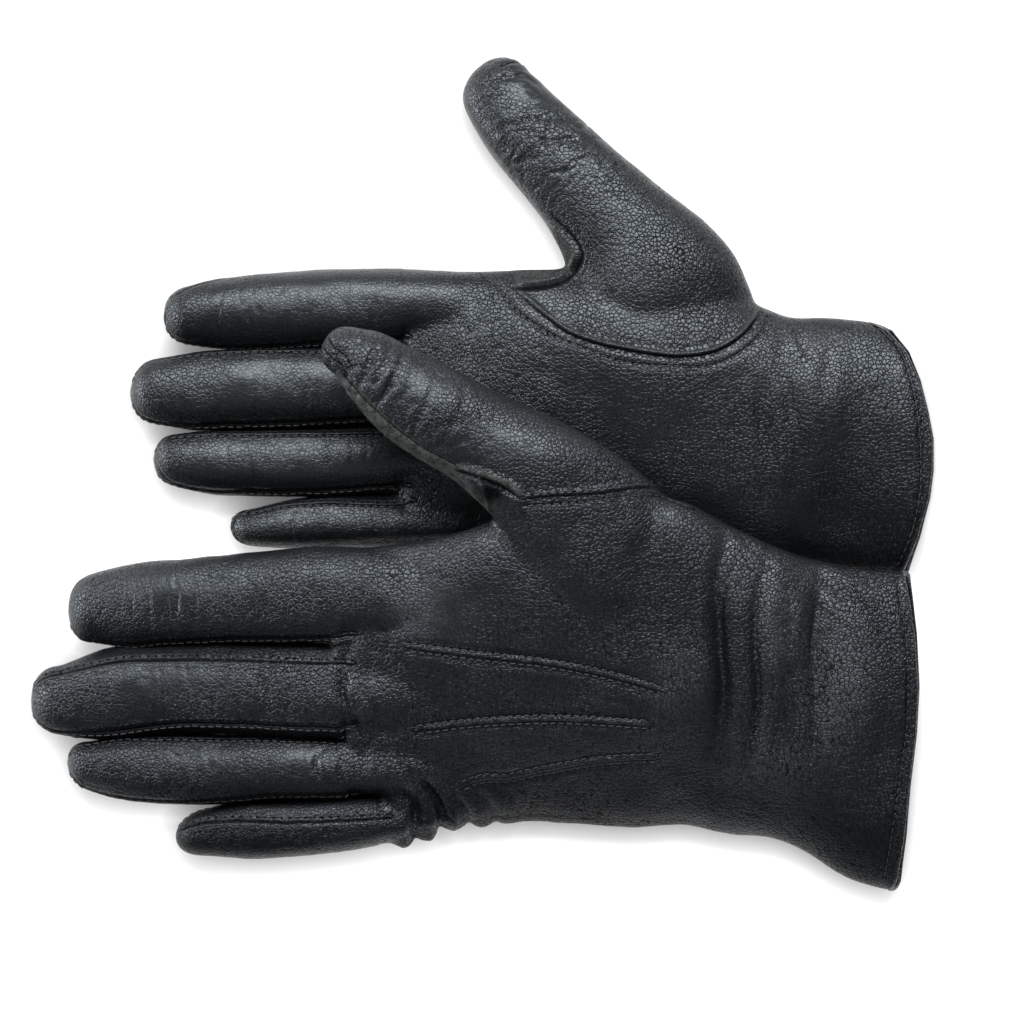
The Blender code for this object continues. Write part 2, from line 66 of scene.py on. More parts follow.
# Hand rows: x, y at the thumb side, y at the little side, mid height at the little
# side and at the thumb side, half thickness.  Finger rows: x, y at the thumb side,
# y at the little side, mid height, half thickness.  Thumb rows: distance along the
# thumb, outer side, inner side, mid height, half thickness.  A finger's seams: the
# section angles of its thumb side, up and down, then of its little side.
RIGHT = {
    "name": "right", "palm_up": True, "floor": 0.0,
    "hand": [(-20, 57.6, -20.6, 9.6, 10.2, 8.6), (-10, 58.0, -21.8, 9.5, 10.8, 10.4),
             (3, 58.4, -23.2, 9.6, 12.4, 12.6), (18, 58.6, -24.5, 10.0, 14.0, 14.3),
             (45, 57.0, -25.5, 10.0, 15.0, 15.2), (65, 54.0, -26.0, 10.0, 14.5, 14.5),
             (80, 47.4, -27.0, 10.0, 13.5, 13.4), (88, 44.8, -27.8, 10.0, 12.8, 12.8),
             (96, 44.6, -28.5, 10.0, 12.5, 12.4), (110, 43.4, -29.5, 10.0, 12.0, 12.0),
             (124, 41.0, -30.0, 10.0, 11.5, 11.4), (138, 38.0, -30.5, 10.0, 11.5, 11.0)],
    "cuff": [(-30, 121.0), (-18, 125.4), (-7, 128.3), (1, 129.3), (10, 129.3),
             (18, 127.8), (27, 125.4), (35, 122.0), (41, 116.8), (44, 111)],
    "web": [(-21, -19), (-6.2, -21.0), (3, -20), (13.4, -21.6), (25, -19), (36.4, -20.0),
            (58, -16)],
    "fingers": {
        "index": {"rows": [(4, 57.6, 39.5, 11.0, 8.4), (-14, 58.2, 38.5, 10.4, 9.4),
                           (-30, 58.6, 37.4, 10.1, 9.8), (-50, 58.0, 36.4, 9.8, 9.5),
                           (-66, 57.0, 35.9, 9.4, 9.0), (-77, 55.2, 36.2, 8.9, 8.5),
                           (-84, 53.6, 37.0, 8.6, 8.0)],
                  "tip": (-91.8, 45.4, 8.0), "web": (-23.0, -44.0),
                  "seams": (48, -48, 155, -132)},
        "middle": {"rows": [(4, 35.2, 16.4, 11.0, 8.4), (-14, 35.6, 15.2, 10.4, 9.4),
                            (-30, 36.0, 14.2, 10.1, 9.8), (-50, 35.7, 13.2, 9.8, 9.5),
                            (-70, 35.2, 12.7, 9.4, 9.0), (-86, 34.0, 13.0, 8.9, 8.5),
                            (-93.5, 32.8, 14.2, 8.6, 8.0)],
                   "tip": (-101.2, 23.4, 8.0), "web": (-24.5, -45.0),
                   "seams": (25, -48, 148, -132)},
        "ring": {"rows": [(4, 12.4, -3.4, 10.6, 8.4), (-14, 13.0, -4.6, 10.2, 9.2),
                          (-30, 13.2, -5.6, 10.0, 9.6), (-50, 12.7, -6.2, 9.6, 9.2),
                          (-66, 12.4, -6.1, 9.2, 8.8), (-80, 12.1, -5.2, 8.8, 8.3),
                          (-88, 11.4, -3.4, 8.4, 7.8)],
                 "tip": (-94.4, 4.2, 7.8), "web": (-24.5, -45.0),
                 "seams": (35, -48, 150, -132)},
        "little": {"rows": [(2, -7.4, -20.6, 9.8, 7.6), (-14, -7.0, -21.0, 9.6, 8.6),
                            (-30, -6.4, -21.2, 9.4, 9.0), (-44, -6.8, -21.5, 9.1, 8.6),
                            (-56, -7.8, -21.7, 8.8, 8.2), (-66, -10.0, -21.0, 8.2, 7.4)],
                   "tip": (-72.8, -15.4, 7.4), "web": (-23.5, -44.0),
                   "seams": (40, -48, 150, -132)},
    },
    "gap_reach": [0.6, 0.5, 0.5],
    "thumb": {
        "direction": (-0.590, 0.807),
        "rows": [(-9, 90.6, 52.0, 12.0, 8.6), (0, 93.4, 46.0, 12.8, 10.6),
                 (10, 94.6, 46.0, 13.6, 12.6),
                 (22, 93.2, 50.0, 13.6, 13.0), (30, 91.2, 53.0, 13.4, 12.4),
                 (37, 89.2, 55.2, 13.2, 11.9), (44, 87.3, 56.6, 12.9, 11.4),
                 (52, 85.5, 56.7, 12.4, 11.0), (60, 83.8, 56.3, 11.8, 10.6),
                 (70, 81.5, 55.9, 11.0, 10.0), (78, 80.0, 56.0, 10.3, 9.4),
                 (85, 78.8, 57.0, 9.7, 8.8)],
        "tip": (94.6, 68.4, 8.8), "blend": (36.0, 66.0), "crotch": 56.0, "turn": 0.5},
}
LEFT = {
    "name": "left", "palm_up": False, "floor": 0.2,
    "hand": [(-36, -20.6, -107.4, 11.0, 27.4, 8.4), (-26, -19.8, -105.4, 9.8, 29.4, 9.6),
             (-12, -17.4, -101.4, 8.6, 32.4, 11.6), (0, -13.8, -100.6, 7.8, 34.6, 13.2),
             (12, -9.4, -100.2, 7.2, 35.6, 14.2), (24, -7.0, -100.5, 7.0, 36.0, 14.8),
             (45, -6.0, -101.4, 7.0, 36.0, 14.6), (58, -8.4, -100.8, 7.2, 34.6, 13.8),
             (70, -14.6, -103.4, 7.5, 31.4, 13.2), (84, -21.2, -105.2, 7.8, 28.0, 12.8),
             (92, -23.6, -108.4, 8.0, 26.0, 12.5), (104, -26.2, -115.6, 8.4, 24.0, 12.0),
             (114, -27.2, -119.2, 8.5, 22.8, 11.6), (120, -27.6, -120.0, 8.5, 22.5, 11.4),
             (132, -28.6, -121.0, 8.5, 22.0, 11.2)],
    "cuff": [(-121, 117.4), (-117, 119.6), (-104, 121.4), (-90, 122.5), (-75, 124.2),
             (-61, 124.8), (-46, 123.8), (-36, 122.4), (-28, 121.0), (-24, 120.0)],
    "web": [(-107, -23), (-98, -23), (-92.4, -26.4), (-84, -31), (-75.6, -36.4),
            (-62, -36), (-48.8, -39.6), (-34, -36), (-20, -32)],
    "fingers": {
        "index": {"rows": [(-8, -25.0, -44.0, 28.4, 7.4), (-26, -21.4, -46.4, 27.0, 9.5),
                           (-46, -20.9, -47.0, 23.2, 9.8), (-60, -22.0, -47.3, 21.0, 9.6),
                           (-72, -22.9, -47.4, 19.0, 9.3), (-89, -24.7, -47.9, 15.8, 9.0),
                           (-101, -26.3, -49.2, 12.8, 8.6), (-111, -28.2, -48.2, 10.6, 8.0)],
                  "tip": (-119.2, -38.8, 8.8), "web": (-39.5, -61.0),
                  "seams": (48, -48, 155, -130)},
        "middle": {"rows": [(-6, -52.0, -71.0, 21.0, 6.6), (-24, -49.2, -73.8, 21.6, 9.4),
                            (-46, -48.7, -74.5, 18.4, 9.8), (-60, -48.5, -74.0, 17.0, 9.6),
                            (-74, -48.5, -73.4, 15.6, 9.4), (-90, -49.0, -73.5, 13.2, 9.1),
                            (-104, -50.0, -75.0, 11.4, 8.8), (-113, -52.6, -75.3, 10.4, 8.5),
                            (-121, -54.8, -74.8, 9.6, 8.0)],
                   "tip": (-129.7, -64.4, 8.6), "web": (-40.0, -61.0),
                   "seams": (57, -40, 140, -140)},
        "ring": {"rows": [(-2, -78.6, -89.6, 13.6, 6.0), (-20, -76.4, -91.8, 15.8, 9.2),
                          (-40, -75.8, -92.4, 14.6, 9.7), (-60, -75.3, -92.8, 13.4, 9.4),
                          (-80, -75.1, -94.1, 11.6, 9.1), (-96, -75.3, -93.5, 10.2, 8.7),
                          (-106, -75.8, -92.4, 9.4, 8.3), (-112.5, -76.8, -90.4, 9.0, 7.6)],
                 "tip": (-119.1, -82.8, 8.2), "web": (-38.5, -60.0),
                 "seams": (30, -48, 150, -130)},
        "little": {"rows": [(6, -93.0, -99.0, 7.0, 3.0), (-6, -92.8, -100.6, 8.8, 5.4),
                            (-18, -92.2, -103.6, 10.6, 7.8), (-30, -92.2, -106.2, 11.8, 9.0),
                            (-44, -92.6, -108.4, 11.2, 9.0), (-58, -93.2, -110.0, 10.4, 8.6),
                            (-70, -94.0, -110.3, 9.4, 8.2), (-79, -96.0, -109.6, 8.6, 7.4)],
                   "tip": (-88.4, -104.2, 7.8), "web": (-30.0, -58.0),
                   "seams": (84, -30, 140, -140)},
    },
    "gap_reach": [1.1, 1.05, 0.9],
    "thumb": {
        "direction": (-0.893, 0.450),
        "rows": [(-58, 14.0, -24.0, 34.0, 6.0), (-46, 18.5, -24.0, 35.6, 8.8),
                 (-32, 21.6, -21.0, 37.6, 10.4), (-20, 22.4, -15.5, 39.4, 10.9),
                 (-10, 22.8, -10.6, 40.6, 10.8), (-2, 22.4, -7.8, 41.2, 10.5),
                 (6, 22.2, -5.4, 41.6, 10.2), (14, 22.3, -5.0, 41.9, 9.9),
                 (24, 22.7, -4.2, 42.2, 9.5), (36, 22.8, -1.1, 42.5, 9.0),
                 (44, 22.3, 2.8, 42.5, 8.4), (50, 20.6, 6.2, 42.3, 7.6)],
        "tip": (56.4, 12.6, 42.0), "blend": (-8.0, 24.0), "crotch": 0.0, "turn": 0.0},
}


# --- small maths ----------------------------------------------------------------
def smooth_rows(rows, key):
    """Smooth value at `key` of every column of rows that start with their key."""
    table = np.array(sorted(rows), float)
    keys, values = table[:, 0], table[:, 1:]
    slopes = np.gradient(values, keys, axis=0)
    key = min(max(key, keys[0]), keys[-1])
    low = min(max(int(np.searchsorted(keys, key)) - 1, 0), len(keys) - 2)
    span = keys[low + 1] - keys[low]
    t = (key - keys[low]) / span
    return ((2 * t**3 - 3 * t**2 + 1) * values[low] + (t**3 - 2 * t**2 + t) * span * slopes[low]
            + (3 * t**2 - 2 * t**3) * values[low + 1] + (t**3 - t**2) * span * slopes[low + 1])


def straight_rows(rows, key):
    """Straight-line value at `key` of rows of two numbers."""
    table = np.array(rows, float)
    return np.interp(key, table[:, 0], table[:, 1])


def unit(vector):
    return np.asarray(vector, float) / np.linalg.norm(vector)


def ring(centre, side, half_width, half_height, lean, count=RING_POINTS):
    """Points of a superellipse; angle 0 is on its thumb side, a quarter turn on top."""
    angle = np.linspace(0, 2 * np.pi, count, endpoint=False)
    c, s = np.cos(angle), np.sin(angle)
    across = half_width * np.sign(c) * np.abs(c) ** (2 / ROUNDNESS)
    rise = half_height * np.sign(s) * np.abs(s) ** (2 / ROUNDNESS) + lean * across
    return centre + np.outer(across, side) + np.outer(rise, UP)


def section_point(section, angle, inset=0.0):
    """One point of a section's ring, or of a ring `inset` inside it."""
    centre, side, half_width, half_height, lean = section
    c, s = math.cos(angle), math.sin(angle)
    across = (half_width - inset) * math.copysign(abs(c) ** (2 / ROUNDNESS), c)
    rise = (half_height - inset) * math.copysign(abs(s) ** (2 / ROUNDNESS), s)
    return centre + side * across + UP * (rise + lean * across)


# --- sections of the parts of a glove -------------------------------------------
def hand_section(glove, x):
    thumb_y, little_y, little_z, thumb_z, half_height = smooth_rows(glove["hand"], x)
    half_width = (thumb_y - little_y) / 2
    centre = np.array((x, (thumb_y + little_y) / 2, (little_z + thumb_z) / 2))
    return centre, np.array((0.0, 1, 0)), half_width, half_height, \
        (thumb_z - little_z) / (2 * half_width)


def finger_section(finger, x, squeeze=(0.0, 0.0)):
    thumb_y, little_y, mid_z, half_height = smooth_rows(finger["rows"], x)
    thumb_y, little_y = thumb_y - squeeze[0], little_y + squeeze[1]
    centre = np.array((x, (thumb_y + little_y) / 2, mid_z))
    return centre, np.array((0.0, 1, 0)), (thumb_y - little_y) / 2, half_height, 0.0


def neighbour_reach(glove, number):
    """How far a finger's thumb side and little side bulge towards the fingers beside it."""
    reach = [0.0, *glove["gap_reach"], 0.0]
    return np.array(reach[number:number + 2])


def thumb_axes(thumb):
    """Directions along and across the thumb."""
    along = np.array((*thumb["direction"], 0.0))
    return along, np.array((along[1], -along[0], 0.0))


def thumb_bend(thumb):
    """Where the thumb starts to turn with its joint, and where it turns fully."""
    along, across = thumb_axes(thumb)
    start, end = thumb["blend"]
    first = along * start + across * thumb["crotch"]
    return first, first + unit(along + across * thumb["turn"]) * (end - start)


def thumb_section(thumb, distance):
    along, across = thumb_axes(thumb)
    outer, inner, mid_z, half_height = smooth_rows(thumb["rows"], distance)
    centre = along * distance + across * (outer + inner) / 2 + UP * mid_z
    return centre, across, (outer - inner) / 2, half_height, 0.0


def tube_faces(rows, count, start=0):
    """Quads between rows of `count` points, the first row beginning at point `start`."""
    faces = []
    for row in range(rows - 1):
        here = start + row * count
        after = here + count
        for column in range(count):
            following = (column + 1) % count
            faces.append((here + column, after + column, after + following, here + following))
    return faces


def loft(sections, tip=None):
    """Closed loft through sections, rounded to a tip or closed flat."""
    rings = [ring(*section) for section in sections]
    if tip is not None:
        centre, side, half_width, half_height, lean = sections[-1]
        for step in range(1, 9):
            turn = math.radians(90 * step / 9)
            share, shrink = math.sin(turn), math.cos(turn) ** (2 / 2.25)
            rings.append(ring(centre + (tip - centre) * share, side,
                              half_width * shrink, half_height * shrink, 0.0))
    count = len(rings[0])
    points = np.vstack(rings)
    faces = tube_faces(len(rings), count)
    faces.append(tuple(range(count)))
    faces.append(tuple(reversed(range(len(points) - count, len(points)))))
    return points, faces


def hand_solid(glove):
    """The hand, from past the cuff to the webs between the fingers."""
    rows = sorted(glove["hand"])
    start, end = rows[0][0], rows[-1][0]
    last = hand_section(glove, start)
    points, faces = loft([hand_section(glove, x) for x in np.arange(end, start, -3.0)] + [last])
    fade = np.clip((20 - points[:, 0]) / (20 - start), 0, 1) ** 2
    points[:, 0] += fade * (straight_rows(glove["web"], points[:, 1]) - start)
    base = len(points) - RING_POINTS
    edge = points[base:]
    middle = edge.mean(axis=0)
    caps = []
    for step in range(1, 6):
        turn = math.radians(90 * step / 6)
        cap = edge.copy()
        cap[:, 0] -= 3.5 * math.sin(turn)
        mid_z = last[0][2] + last[4] * (cap[:, 1] - last[0][1])
        cap[:, 2] = mid_z + (cap[:, 2] - mid_z) * math.cos(turn) ** 0.8
        cap[:, 1] = middle[1] + (cap[:, 1] - middle[1]) * (1 - 0.03 * math.sin(turn))
        caps.append(cap)
    points = np.vstack([points] + caps)
    faces = faces[:-1] + tube_faces(len(caps) + 1, RING_POINTS, base)
    faces.append(tuple(reversed(range(len(points) - RING_POINTS, len(points)))))
    return points, faces


def glove_solid(glove):
    """Every part of a glove as overlapping closed lofts in one mesh."""
    lofts = [hand_solid(glove)]
    for number, finger in enumerate(glove["fingers"].values()):
        rows = sorted(finger["rows"])
        stations = np.arange(rows[-1][0], rows[0][0], -2.5)
        squeeze = SQUEEZE * (neighbour_reach(glove, number) > 0)
        sections = [finger_section(finger, x, squeeze) for x in stations]
        sections.append(finger_section(finger, rows[0][0], squeeze))
        lofts.append(loft(sections, np.array(finger["tip"], float)))
    thumb = glove["thumb"]
    along, across = thumb_axes(thumb)
    distance, side, height = thumb["tip"]
    tip = along * distance + across * side + UP * height
    last = thumb["rows"][-1][0]
    stations = list(np.arange(thumb["rows"][0][0], last, 2.5)) + [last]
    lofts.append(loft([thumb_section(thumb, d) for d in stations], tip))
    points, faces, offset = [], [], 0
    for part_points, part_faces in lofts:
        points.append(part_points)
        faces += [tuple(index + offset for index in face) for face in part_faces]
        offset += len(part_points)
    return np.vstack(points), faces


# --- one skin per glove ---------------------------------------------------------
def make_mesh(name, points, faces):
    """A mesh in metres from points in millimetres."""
    mesh = bpy.data.meshes.new(name)
    mesh.from_pydata((np.asarray(points) * MM).tolist(), [], faces)
    mesh.update()
    return mesh


def voxel_skin(points, faces, voxel):
    """One closed skin round overlapping solids: its points and its quads."""
    mesh = make_mesh("skin_source", points, faces)
    source = bpy.data.objects.new("skin_source", mesh)
    bpy.context.scene.collection.objects.link(source)
    remesh = source.modifiers.new("Remesh", "REMESH")
    remesh.mode = "VOXEL"
    remesh.voxel_size = voxel * MM
    remesh.adaptivity = 0.0
    graph = bpy.context.evaluated_depsgraph_get()
    result = bpy.data.meshes.new_from_object(source.evaluated_get(graph))
    skin_points = np.empty(len(result.vertices) * 3)
    result.vertices.foreach_get("co", skin_points)
    quads = np.empty(len(result.loops), int)
    result.loops.foreach_get("vertex_index", quads)
    bpy.data.objects.remove(source)
    bpy.data.meshes.remove(result)
    return skin_points.reshape(-1, 3) / MM, quads.reshape(-1, 4)


def edges_of(quads):
    """Every edge once, as sorted pairs of points, and how many faces share it."""
    pairs = np.vstack([quads[:, [0, 1]], quads[:, [1, 2]], quads[:, [2, 3]], quads[:, [3, 0]]])
    return np.unique(np.sort(pairs, axis=1), axis=0, return_counts=True)


def relax(points, edges, rounds, amount=0.5, hold=None):
    """Moves each point towards the average of its neighbours."""
    a, b = edges[:, 0], edges[:, 1]
    degree = np.bincount(a, minlength=len(points)) + np.bincount(b, minlength=len(points))
    degree = np.maximum(degree, 1)[:, None]
    for _ in range(rounds):
        total = np.empty_like(points)
        for axis in range(3):
            total[:, axis] = (np.bincount(a, points[b, axis], len(points))
                              + np.bincount(b, points[a, axis], len(points)))
        step = (total / degree - points) * amount
        if hold is not None:
            step *= hold[:, None]
        points = points + step
    return points


def normals_of(points, quads):
    """Unit normal at every point, weighted by the area of its faces."""
    cross = np.cross(points[quads[:, 2]] - points[quads[:, 0]],
                     points[quads[:, 3]] - points[quads[:, 1]])
    normals = np.empty_like(points)
    for axis in range(3):
        column = np.zeros(len(points))
        for corner in range(4):
            column += np.bincount(quads[:, corner], cross[:, axis], len(points))
        normals[:, axis] = column
    return normals / np.maximum(np.linalg.norm(normals, axis=1), 1e-12)[:, None]


def finger_sides(finger, x):
    """Y of a finger's thumb side and little side at each x."""
    table = np.array(sorted(finger["rows"]), float)
    return np.interp(x, table[:, 0], table[:, 1]), np.interp(x, table[:, 0], table[:, 2])


def finger_of(glove, points):
    """Index of the finger each point is on, or -1 for the hand and the thumb."""
    x, y = points[:, 0], points[:, 1]
    sides = [finger_sides(finger, x) for finger in glove["fingers"].values()]
    gaps = [(first[1] + second[0]) / 2 for first, second in zip(sides, sides[1:])]
    number = sum((y < gap).astype(int) for gap in gaps)
    starts = np.array([finger["web"][0] for finger in glove["fingers"].values()])
    on_thumb = y > 60.5 if glove["palm_up"] else (y > -20) & (points[:, 2] > LEFT_THUMB_LEVEL)
    return np.where((x < starts[number]) & ~on_thumb, number, -1)


def plump_fingers(glove, points, owner):
    """Fills the squeezed sides of the fingers out again, so that neighbours nearly touch."""
    points = points.copy()
    for number, finger in enumerate(glove["fingers"].values()):
        mine = np.where(owner == number)[0]
        x = points[mine, 0]
        thumb_y, little_y = finger_sides(finger, x)
        middle, half = (thumb_y + little_y) / 2, (thumb_y - little_y) / 2
        grow = np.clip((finger["web"][0] + 3.0 - x) / 5.0, 0, 1)
        grow = grow * grow * (3 - 2 * grow)
        across = np.clip((points[mine, 1] - middle) / half, -1, 1)
        reach = np.where(across > 0, *neighbour_reach(glove, number))
        last = min(finger["rows"])[0]
        touch = reach * np.clip((x - last) / 12, 0, 1) * np.abs(across)
        points[mine, 1] += across * (grow * (SQUEEZE * (reach > 0) + touch) + 0.12)
    return points


# --- seams and creases ----------------------------------------------------------
def chord_of(curve):
    """Length along a curve to each of its points."""
    return np.r_[0, np.cumsum(np.linalg.norm(np.diff(curve, axis=0), axis=1))]


def resample(curve, spacing=LINE_STEP):
    """Evenly spaced points along a smooth curve through the given ones."""
    curve = np.asarray(curve, float)
    chord = chord_of(curve)
    rows = [(c, *p) for c, p in zip(chord, curve)]
    count = max(int(chord[-1] / spacing), 2)
    if len(rows) == 2:
        return np.array([curve[0] + (curve[1] - curve[0]) * t for t in np.linspace(0, 1, count)])
    return np.array([smooth_rows(rows, c) for c in np.linspace(0, chord[-1], count)])


def project(tree, curve, above):
    """Drops a curve of (x, y) onto the skin from above, or raises it from below."""
    direction = Vector((0, 0, -1 if above else 1))
    start = 120.0 if above else -60.0
    dropped = []
    for x, y in curve:
        hit = tree.ray_cast(Vector((x, y, start)), direction)[0]
        if hit is not None:
            dropped.append(tuple(hit))
    return np.array(dropped)


def snap(tree, curve):
    """Moves each point of a curve to the nearest place on the skin."""
    return np.array([tuple(tree.find_nearest(Vector(point))[0]) for point in curve])


def round_the_edge(place):
    """Places that carry a line from `place` on over the edge and underneath."""
    x, y, z = place
    return resample([(x, y, z), (x + 0.4, y - 3, z - 4), (x + 1.0, y - 2, z - 9)])


def reach_of(tree, points, normals, curve, reach):
    """Points near a curve: their indices, signed distances and shares along it."""
    nearest = {}
    for number, place in enumerate(curve):
        for _, index, distance in tree.find_range(Vector(place), reach):
            if distance < nearest.get(index, (FAR_OFF, 0))[0]:
                nearest[index] = (distance, number)
    if not nearest:
        return None
    index = np.array(list(nearest))
    number = np.array([nearest[i][1] for i in index])
    before = curve[np.maximum(number - 1, 0)]
    after = curve[np.minimum(number + 1, len(curve) - 1)]
    tangent = after - before
    tangent /= np.maximum(np.linalg.norm(tangent, axis=1), 1e-9)[:, None]
    offset = points[index] - curve[number]
    along = np.einsum("ij,ij->i", offset, tangent)
    off_line = offset - np.clip(along, -0.6, 0.6)[:, None] * tangent
    distance = np.linalg.norm(off_line, axis=1)
    side = np.sign(np.einsum("ij,ij->i", np.cross(tangent, normals[index]), off_line))
    return index, distance * side, number / (len(curve) - 1)


def bump(distance, width):
    return np.exp(-(distance / width) ** 2)


def ends(steepness, least=0.0):
    """A line that fades out at both ends."""
    return lambda share: np.clip(np.minimum(share, 1 - share) * steepness, least, 1)


def arch(power):
    """A line that is strongest in its middle."""
    return lambda share: np.sin(np.pi * np.clip(share, 0, 1)) ** power


def deepening(steepness):
    """A line that starts softly and keeps its strength to its far end."""
    return lambda share: np.clip(share * steepness, 0, 1)


# Each kind of line: its fade, how far it reaches, how it is drawn in the grain (0 for a
# groove, 1 for a bead, None for neither), and its ridges (+) and hollows (-): height,
# distance from the line, width, and whether there is one on each side.
KINDS = {
    "seam": (ends(9, 0.3), 4.0, 0.0, [(-0.26, 0.0, 0.7, False), (0.22, 1.3, 0.8, True)]),
    "stitch": (ends(0, 1.0), 2.0, None, [(-0.16, 0.0, 1.0, False)]),
    "line": (ends(0, 1.0), 2.0, 0.0, []),
    "tuck": (ends(12), 3.4, None, [(0.30, 0.1, 0.9, False), (-0.20, 2.0, 0.9, True)]),
    "lip": (ends(8), 3.0, 0.0, [(-0.30, 0.0, 0.6, False), (0.22, 1.1, 0.7, True)]),
    "ridge": (ends(12), 3.4, 1.0, [(0.55, 0.0, 0.8, False), (-0.22, 1.7, 0.8, True)]),
    "bead": (ends(15), 4.0, 1.0, [(0.55, 0.0, 0.75, False), (-0.50, 1.3, 0.8, False),
                                  (-0.12, -1.6, 0.8, False)]),
    "roll": (ends(10), 5.0, None, [(0.75, 0.0, 1.0, False), (-0.85, 1.9, 0.9, False),
                                   (-0.25, -2.0, 1.0, False)]),
    "gather": (deepening(2.6), 8.0, None, [(-1.0, 0.0, 1.25, False), (0.5, 3.3, 1.9, True)]),
    "crease": (arch(0.7), 5.5, None, [(-0.55, 0.0, 0.9, False), (0.22, 2.1, 1.3, True)]),
    "crack": (arch(0.7), 3.2, None, [(-0.26, 0.0, 0.6, False), (0.10, 1.5, 0.9, True)]),
    "fold": (arch(0.6), 10.0, None, [(-0.9, 0.0, 1.9, False), (0.5, 4.2, 2.4, True)]),
}
LINE_REACH = {"line": 1.7, "thread": 1.0}


def line_height(kind, distance, share, size):
    """Height of a line's relief at signed distances from it and shares along it."""
    fade, _, _, shapes = KINDS[kind]
    height = np.zeros(len(distance))
    for amount, offset, width, both_sides in shapes:
        height += amount * bump((np.abs(distance) if both_sides else distance) - offset, width)
    return size * fade(share) * height


def finger_seam(finger, degrees):
    """One fourchette seam, from the web along the finger's side and round to its tip."""
    root, last = finger["web"][0] + 3.0, min(finger["rows"])[0]
    side = 0.0 if abs(degrees) < 90 else math.copysign(180.0, degrees)
    line = []
    for x in np.linspace(root, last, 16):
        share = (x - root) / (last - root)
        angle = math.radians(degrees + (side - degrees) * SEAM_LEAN * share**2)
        line.append(section_point(finger_section(finger, x), angle))
    end, tip = line[-1], np.array(finger["tip"], float)
    outward = end - finger_section(finger, last)[0]
    for share in (0.35, 0.65, 0.85):
        line.append(end * (1 - share) + tip * share + outward * 0.84 * share * (1 - share))
    return np.array(line)


def finger_seams(glove):
    """The seams of the fourchettes: (curve, kind, size, has stitches, finger)."""
    curves = []
    for name, finger in glove["fingers"].items():
        for number, degrees in enumerate(finger["seams"]):
            outermost = (name == "index" and number < 2) or (name == "little" and number >= 2)
            if not outermost:
                curves.append((finger_seam(finger, degrees), "seam", 1.0, True, name))
    return curves


def finger_creases(glove, seed):
    """Fine creases across each finger, where it has been bent."""
    random = np.random.RandomState(seed)
    curves = []
    for name, finger in glove["fingers"].items():
        rows = sorted(finger["rows"])
        start, end = finger["web"][0] - 4, rows[0][0] + 6
        count = int(abs(end - start) / 6.5)
        for number in range(count):
            x = start + (end - start) * (number + random.uniform(0.2, 0.8)) / count
            centre_angle = random.uniform(70, 118)
            spread = random.uniform(22, 44)
            lean = random.uniform(-1.2, 1.2)
            section = finger_section(finger, x)
            line = []
            for turn in np.linspace(centre_angle - spread, centre_angle + spread, 7):
                point = section_point(section, math.radians(turn))
                point = point + np.array((lean * (turn - centre_angle) / spread, 0, 0))
                point[0] += random.uniform(-0.25, 0.25)
                line.append(point)
            curves.append((np.array(line), "crack", random.uniform(0.4, 1.1), False, name))
    return curves


def soft_unevenness(points, seed):
    """Slight swells and hollows of leather over padding, in millimetres."""
    shift = Vector((seed * 37.1, seed * 11.3, seed * 5.7))
    height = np.empty(len(points))
    for number, place in enumerate(points):
        spot = Vector(place) + shift
        height[number] = (0.50 * noise.noise(spot / 21.0) + 0.22 * noise.noise(spot / 9.0)
                          + 0.08 * noise.noise(spot / 4.0))
    return height


def wrinkles(points, chosen, along, length, width, seed):
    """Sharp-bottomed wrinkles across `along`, 0 on the crests and -1 in the valleys."""
    along = unit(along)
    height = np.zeros(len(points))
    stretch = 1 / length - 1 / width
    for number in chosen:
        place = points[number]
        spot = Vector(place / width + along * (place @ along) * stretch) + Vector((seed, 0, 0))
        level = abs(noise.noise(spot))
        if level < 0.38:
            height[number] = -(1 - level * 2.6) ** 3
    return height


def patch(points, x, y, radius_x, radius_y):
    """A soft-edged round patch seen from above: 1 in its middle, 0 outside."""
    far = np.hypot((points[:, 0] - x) / radius_x, (points[:, 1] - y) / radius_y)
    return np.clip(1.6 - 1.6 * far, 0, 1) ** 1.5 * (far < 1)


def spared(glove, points, y):
    """1, but 0 under the left thumb for a place that lies on the left thumb."""
    if glove["name"] == "left" and y > -10:
        return points[:, 2] > LEFT_THUMB_LEVEL
    return 1.0


def swelling(glove, points):
    """Where the leather is puffed up or pulled down, in millimetres."""
    height = np.zeros(len(points))
    for x, y, radius_x, radius_y, amount in glove["swells"]:
        far = ((points[:, 0] - x) / radius_x) ** 2 + ((points[:, 1] - y) / radius_y) ** 2
        height += amount * np.exp(-far) * spared(glove, points, y)
    return height


def wrinkled(glove, points, seed):
    """All the wrinkle fields of a glove, in millimetres."""
    height = np.zeros(len(points))
    for x, y, radius_x, radius_y, turn, length, width, depth in glove["wrinkles"]:
        share = patch(points, x, y, radius_x, radius_y) * spared(glove, points, y)
        chosen = np.where(share > 0.01)[0]
        along = (math.cos(math.radians(turn)), math.sin(math.radians(turn)), 0.0)
        seed += 7.3
        height += depth * share * wrinkles(points, chosen, along, length, width, seed)
    return height


# --- listed lines, (x, y) seen from above ----------------------------------------
def beside(curve, offset):
    """The same line moved `offset` to its left."""
    curve = np.array(curve, float)
    tangent = np.gradient(curve, axis=0)
    tangent /= np.linalg.norm(tangent, axis=1)[:, None]
    return [tuple(p) for p in curve + offset * np.stack([-tangent[:, 1], tangent[:, 0]], axis=1)]


def point_row(curve, size=1.0):
    """A decorative tuck between two rows of stitches."""
    return [(curve, "tuck", size, False), (beside(curve, 1.2), "stitch", 1.0, True),
            (beside(curve, -0.45), "line", 1.0, False), (beside(curve, -1.2), "stitch", 1.0, True)]


